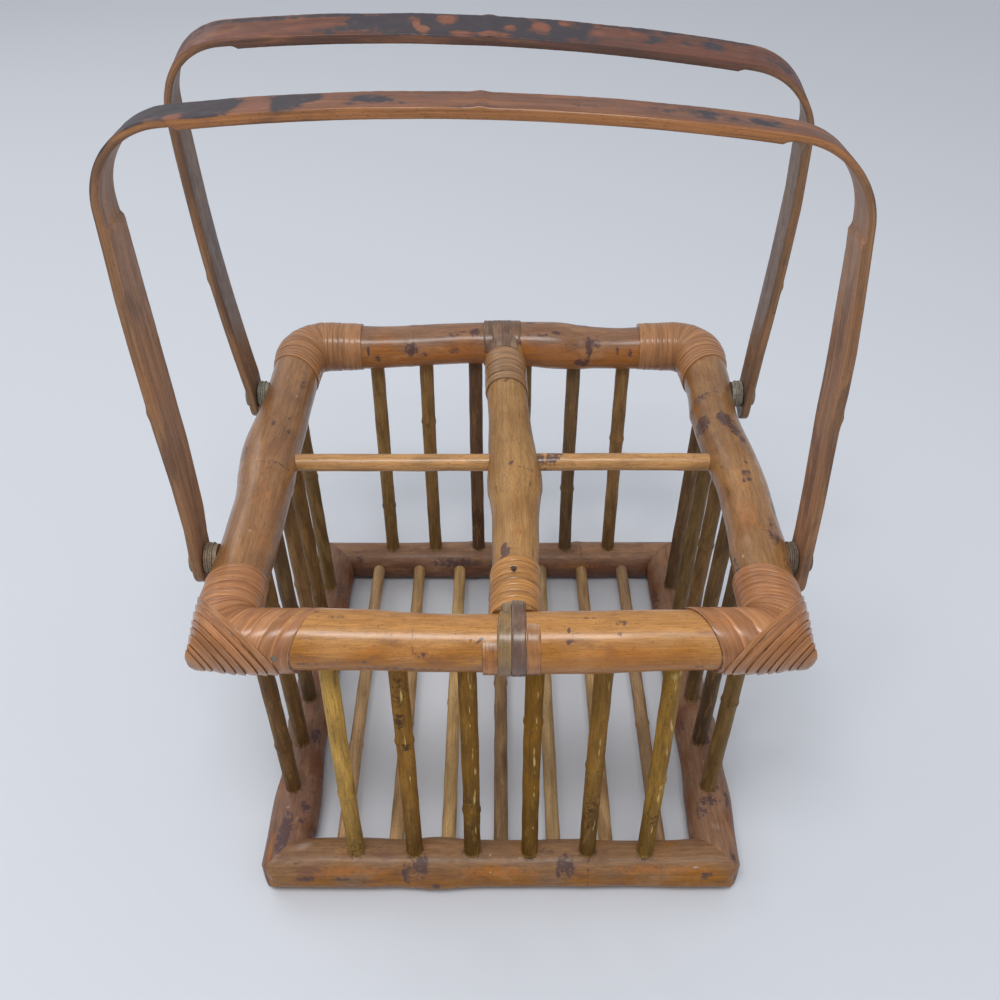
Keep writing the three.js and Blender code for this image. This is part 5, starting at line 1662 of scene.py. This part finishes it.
def pivots():
    """Bolts and washers at the feet of the handles."""
    rail_face = HALF_TOP_WIDTH + TOP_RADIUS + JOINT_GAP
    head_at = BOLT_SUNK + PIVOT_STACK + JOINT_GAP + STRIP_THICKNESS + JOINT_GAP
    head = [(head_at + place, radius) for place, radius in BOLT_RIM]
    head += dome(DOME_RADIUS, DOME_RISE, head_at + DOME_START)
    bolt = [(0, BOLT_RADIUS), (head_at, BOLT_RADIUS)] + head
    stack = list(SPACER_PROFILE)
    for number in range(WASHERS):
        low = BOLT_SUNK + PIVOT_STACK / WASHERS * number
        stack += [(low + place, radius - WASHER_STEP * (number % 2)) for place, radius in WASHER_PROFILE]
    for (end, hand), tint in PIVOT_TINTS.items():
        side, out = (-1 if end == "front" else 1), (-1 if hand == "left" else 1)
        origin = (BASKET_X + out * (rail_face - BOLT_SUNK), side * PIVOT_SPREAD, TOP_HEIGHT)
        name = f"{end}_{hand}"
        for node, part, profile in (("pivot_bolt", "head", bolt), ("washers", "pile", stack)):
            piece = turned(f"{name}_{node}_{part}", profile, origin, (out, 0, 0), tint)
            seat(piece, "basket", "metal", f"{name}_{node}")


# The profile of a small nail's head: distance and radius
NAIL_PROFILE = [
    (-1.0, 0.9), (0, 1.3), (0.3, 1.4), (0.5, 1.15), (0.35, 0.8), (0.5, 0.5), (0.6, 0.2), (0.62, 0.02),
]
# Where the nail in the lashing is: aside from the center rail, along it and up from its middle, and how
# high the other nail is on its rail
LASHING_NAIL, BINDING_NAIL_RISE = (1.0, -94.0, 12.6), 0.6
# How far to the left the nail in the binding is, and its angle on the rail
NAIL_PLACE, NAIL_DROP = -99.5, -15.0
GREY_NAIL, DARK_NAIL = (0.62, 0.55, 0.5), (0.24, 0.16, 0.11)


def nails():
    """Nail heads in the left front binding and in the front lashing."""
    down = math.radians(NAIL_DROP)
    out = np.array([0, -math.cos(down), -math.sin(down)])
    middle = np.array([BASKET_X + NAIL_PLACE, -HALF_TOP_DEPTH, TOP_HEIGHT])
    binding = middle + (TOP_RADIUS + BINDING_NAIL_RISE) * out
    nail = turned("front_left_binding_nail", NAIL_PROFILE, binding, out, GREY_NAIL, columns=NAIL_COLUMNS)
    seat(nail, "basket", "metal")
    aside, along, rise = LASHING_NAIL
    lashing = (BASKET_X + CENTER_OFFSET + aside, along, TOP_HEIGHT + rise)
    nail = turned("front_lashing_nail", NAIL_PROFILE, lashing, (0, 0, 1), DARK_NAIL, columns=NAIL_COLUMNS)
    seat(nail, "basket", "metal")


# Stage, light and camera, in metres

FLOOR_REACH = 6.0
# Linear colours: the floor, the wall that the camera sees and the light from below and from above
FLOOR_COLOUR, WALL_COLOUR = (0.66, 0.69, 0.745), (0.64, 0.67, 0.73)
LOW_LIGHT, HIGH_LIGHT = (0.34, 0.345, 0.36), (0.62, 0.63, 0.65)
# Each lamp: place, width and depth, and power. All are aimed at one place
LAMPS = {
    "overhead": ((-0.15, -0.75, 1.75), (0.9, 0.45), 16.0),
    "rear_fill": ((-1.1, 1.0, 1.4), (1.0, 1.0), 5.0),
}
LAMP_TARGET = (0.0, 0.0, 0.15)


def floor():
    """A plain pale floor."""
    material, _, shader = shader_nodes("pale_floor")
    shader.inputs["Base Color"].default_value = (*FLOOR_COLOUR, 1)
    shader.inputs["Roughness"].default_value = 0.9
    mesh = bpy.data.meshes.new("floor")
    corners = [(x * FLOOR_REACH, y * FLOOR_REACH, 0) for x, y in ((-1, -1), (1, -1), (1, 1), (-1, 1))]
    mesh.from_pydata(corners, [], [(0, 1, 2, 3)])
    mesh.materials.append(material)
    placed("floor", mesh)


def world():
    """Even pale light, softer from the sides, seen as a plain pale wall behind the floor."""
    made = bpy.data.worlds.new("studio")
    made.use_nodes = True
    bpy.context.scene.world = made
    g = Graph(made.node_tree)
    ambient = made.node_tree.nodes["Background"]
    height = g.node("ShaderNodeSeparateXYZ")
    g.join(g.node("ShaderNodeTexCoord").outputs["Generated"], height.inputs[0])
    share = g.range(height.outputs["Z"], -0.1, 0.9)
    g.join(g.mix(share, LOW_LIGHT, HIGH_LIGHT), ambient.inputs["Color"])
    seen = g.node("ShaderNodeBackground")
    seen.inputs["Color"].default_value = (*WALL_COLOUR, 1)
    path, mix = g.node("ShaderNodeLightPath"), g.node("ShaderNodeMixShader")
    g.join(path.outputs["Is Camera Ray"], mix.inputs[0])
    g.join(ambient.outputs[0], mix.inputs[1])
    g.join(seen.outputs[0], mix.inputs[2])
    g.join(mix.outputs[0], made.node_tree.nodes["World Output"].inputs["Surface"])


def lamps():
    """Large soft lamps."""
    for name, (place, size, power) in LAMPS.items():
        data = bpy.data.lights.new(name, "AREA")
        data.shape = "RECTANGLE"
        data.size, data.size_y = size
        data.energy = power
        lamp = placed(name, data)
        lamp.location = place
        aim = Vector(LAMP_TARGET) - Vector(place)
        lamp.rotation_euler = aim.to_track_quat("-Z", "Y").to_euler()


# The camera fitted to the photograph: where it stands, where it looks and how long its lens is
CAMERA_PLACE = Vector((0.000785, -0.448418, 0.539175))
CAMERA_YAW, CAMERA_PITCH, CAMERA_ROLL = 0.000891, 0.6841, -0.00045
FOCAL_PIXELS, PICTURE_PIXELS, SENSOR = 1031.94, 1000.0, 36.0


def camera():
    """The camera, fitted to the photograph."""
    level = math.cos(CAMERA_PITCH)
    forward = Vector(
        (math.sin(CAMERA_YAW) * level, math.cos(CAMERA_YAW) * level, -math.sin(CAMERA_PITCH))
    )
    right = Vector((math.cos(CAMERA_YAW), -math.sin(CAMERA_YAW), 0))
    up = right.cross(forward)
    level = right.copy()
    right = level * math.cos(CAMERA_ROLL) + up * math.sin(CAMERA_ROLL)
    up = up * math.cos(CAMERA_ROLL) - level * math.sin(CAMERA_ROLL)
    data = bpy.data.cameras.new("photo_camera")
    data.sensor_width = SENSOR
    data.lens = FOCAL_PIXELS / PICTURE_PIXELS * SENSOR
    data.clip_start, data.clip_end = 0.01, 50
    view = placed("photo_camera", data)
    turn = Matrix((right, up, -forward)).transposed()
    view.matrix_world = Matrix.Translation(CAMERA_PLACE) @ turn.to_4x4()
    bpy.context.scene.camera = view


camera()
floor()
world()
lamps()
rails("top")
rails("bottom")
center_rail()
cross_rods()
spindles()
slats()
corner_bindings()
lashings()
straps()
for end_name, handle_spec in HANDLES.items():
    handle(end_name, handle_spec)
pivots()
nails()
bpy.context.scene.view_settings.view_transform = "Standard"
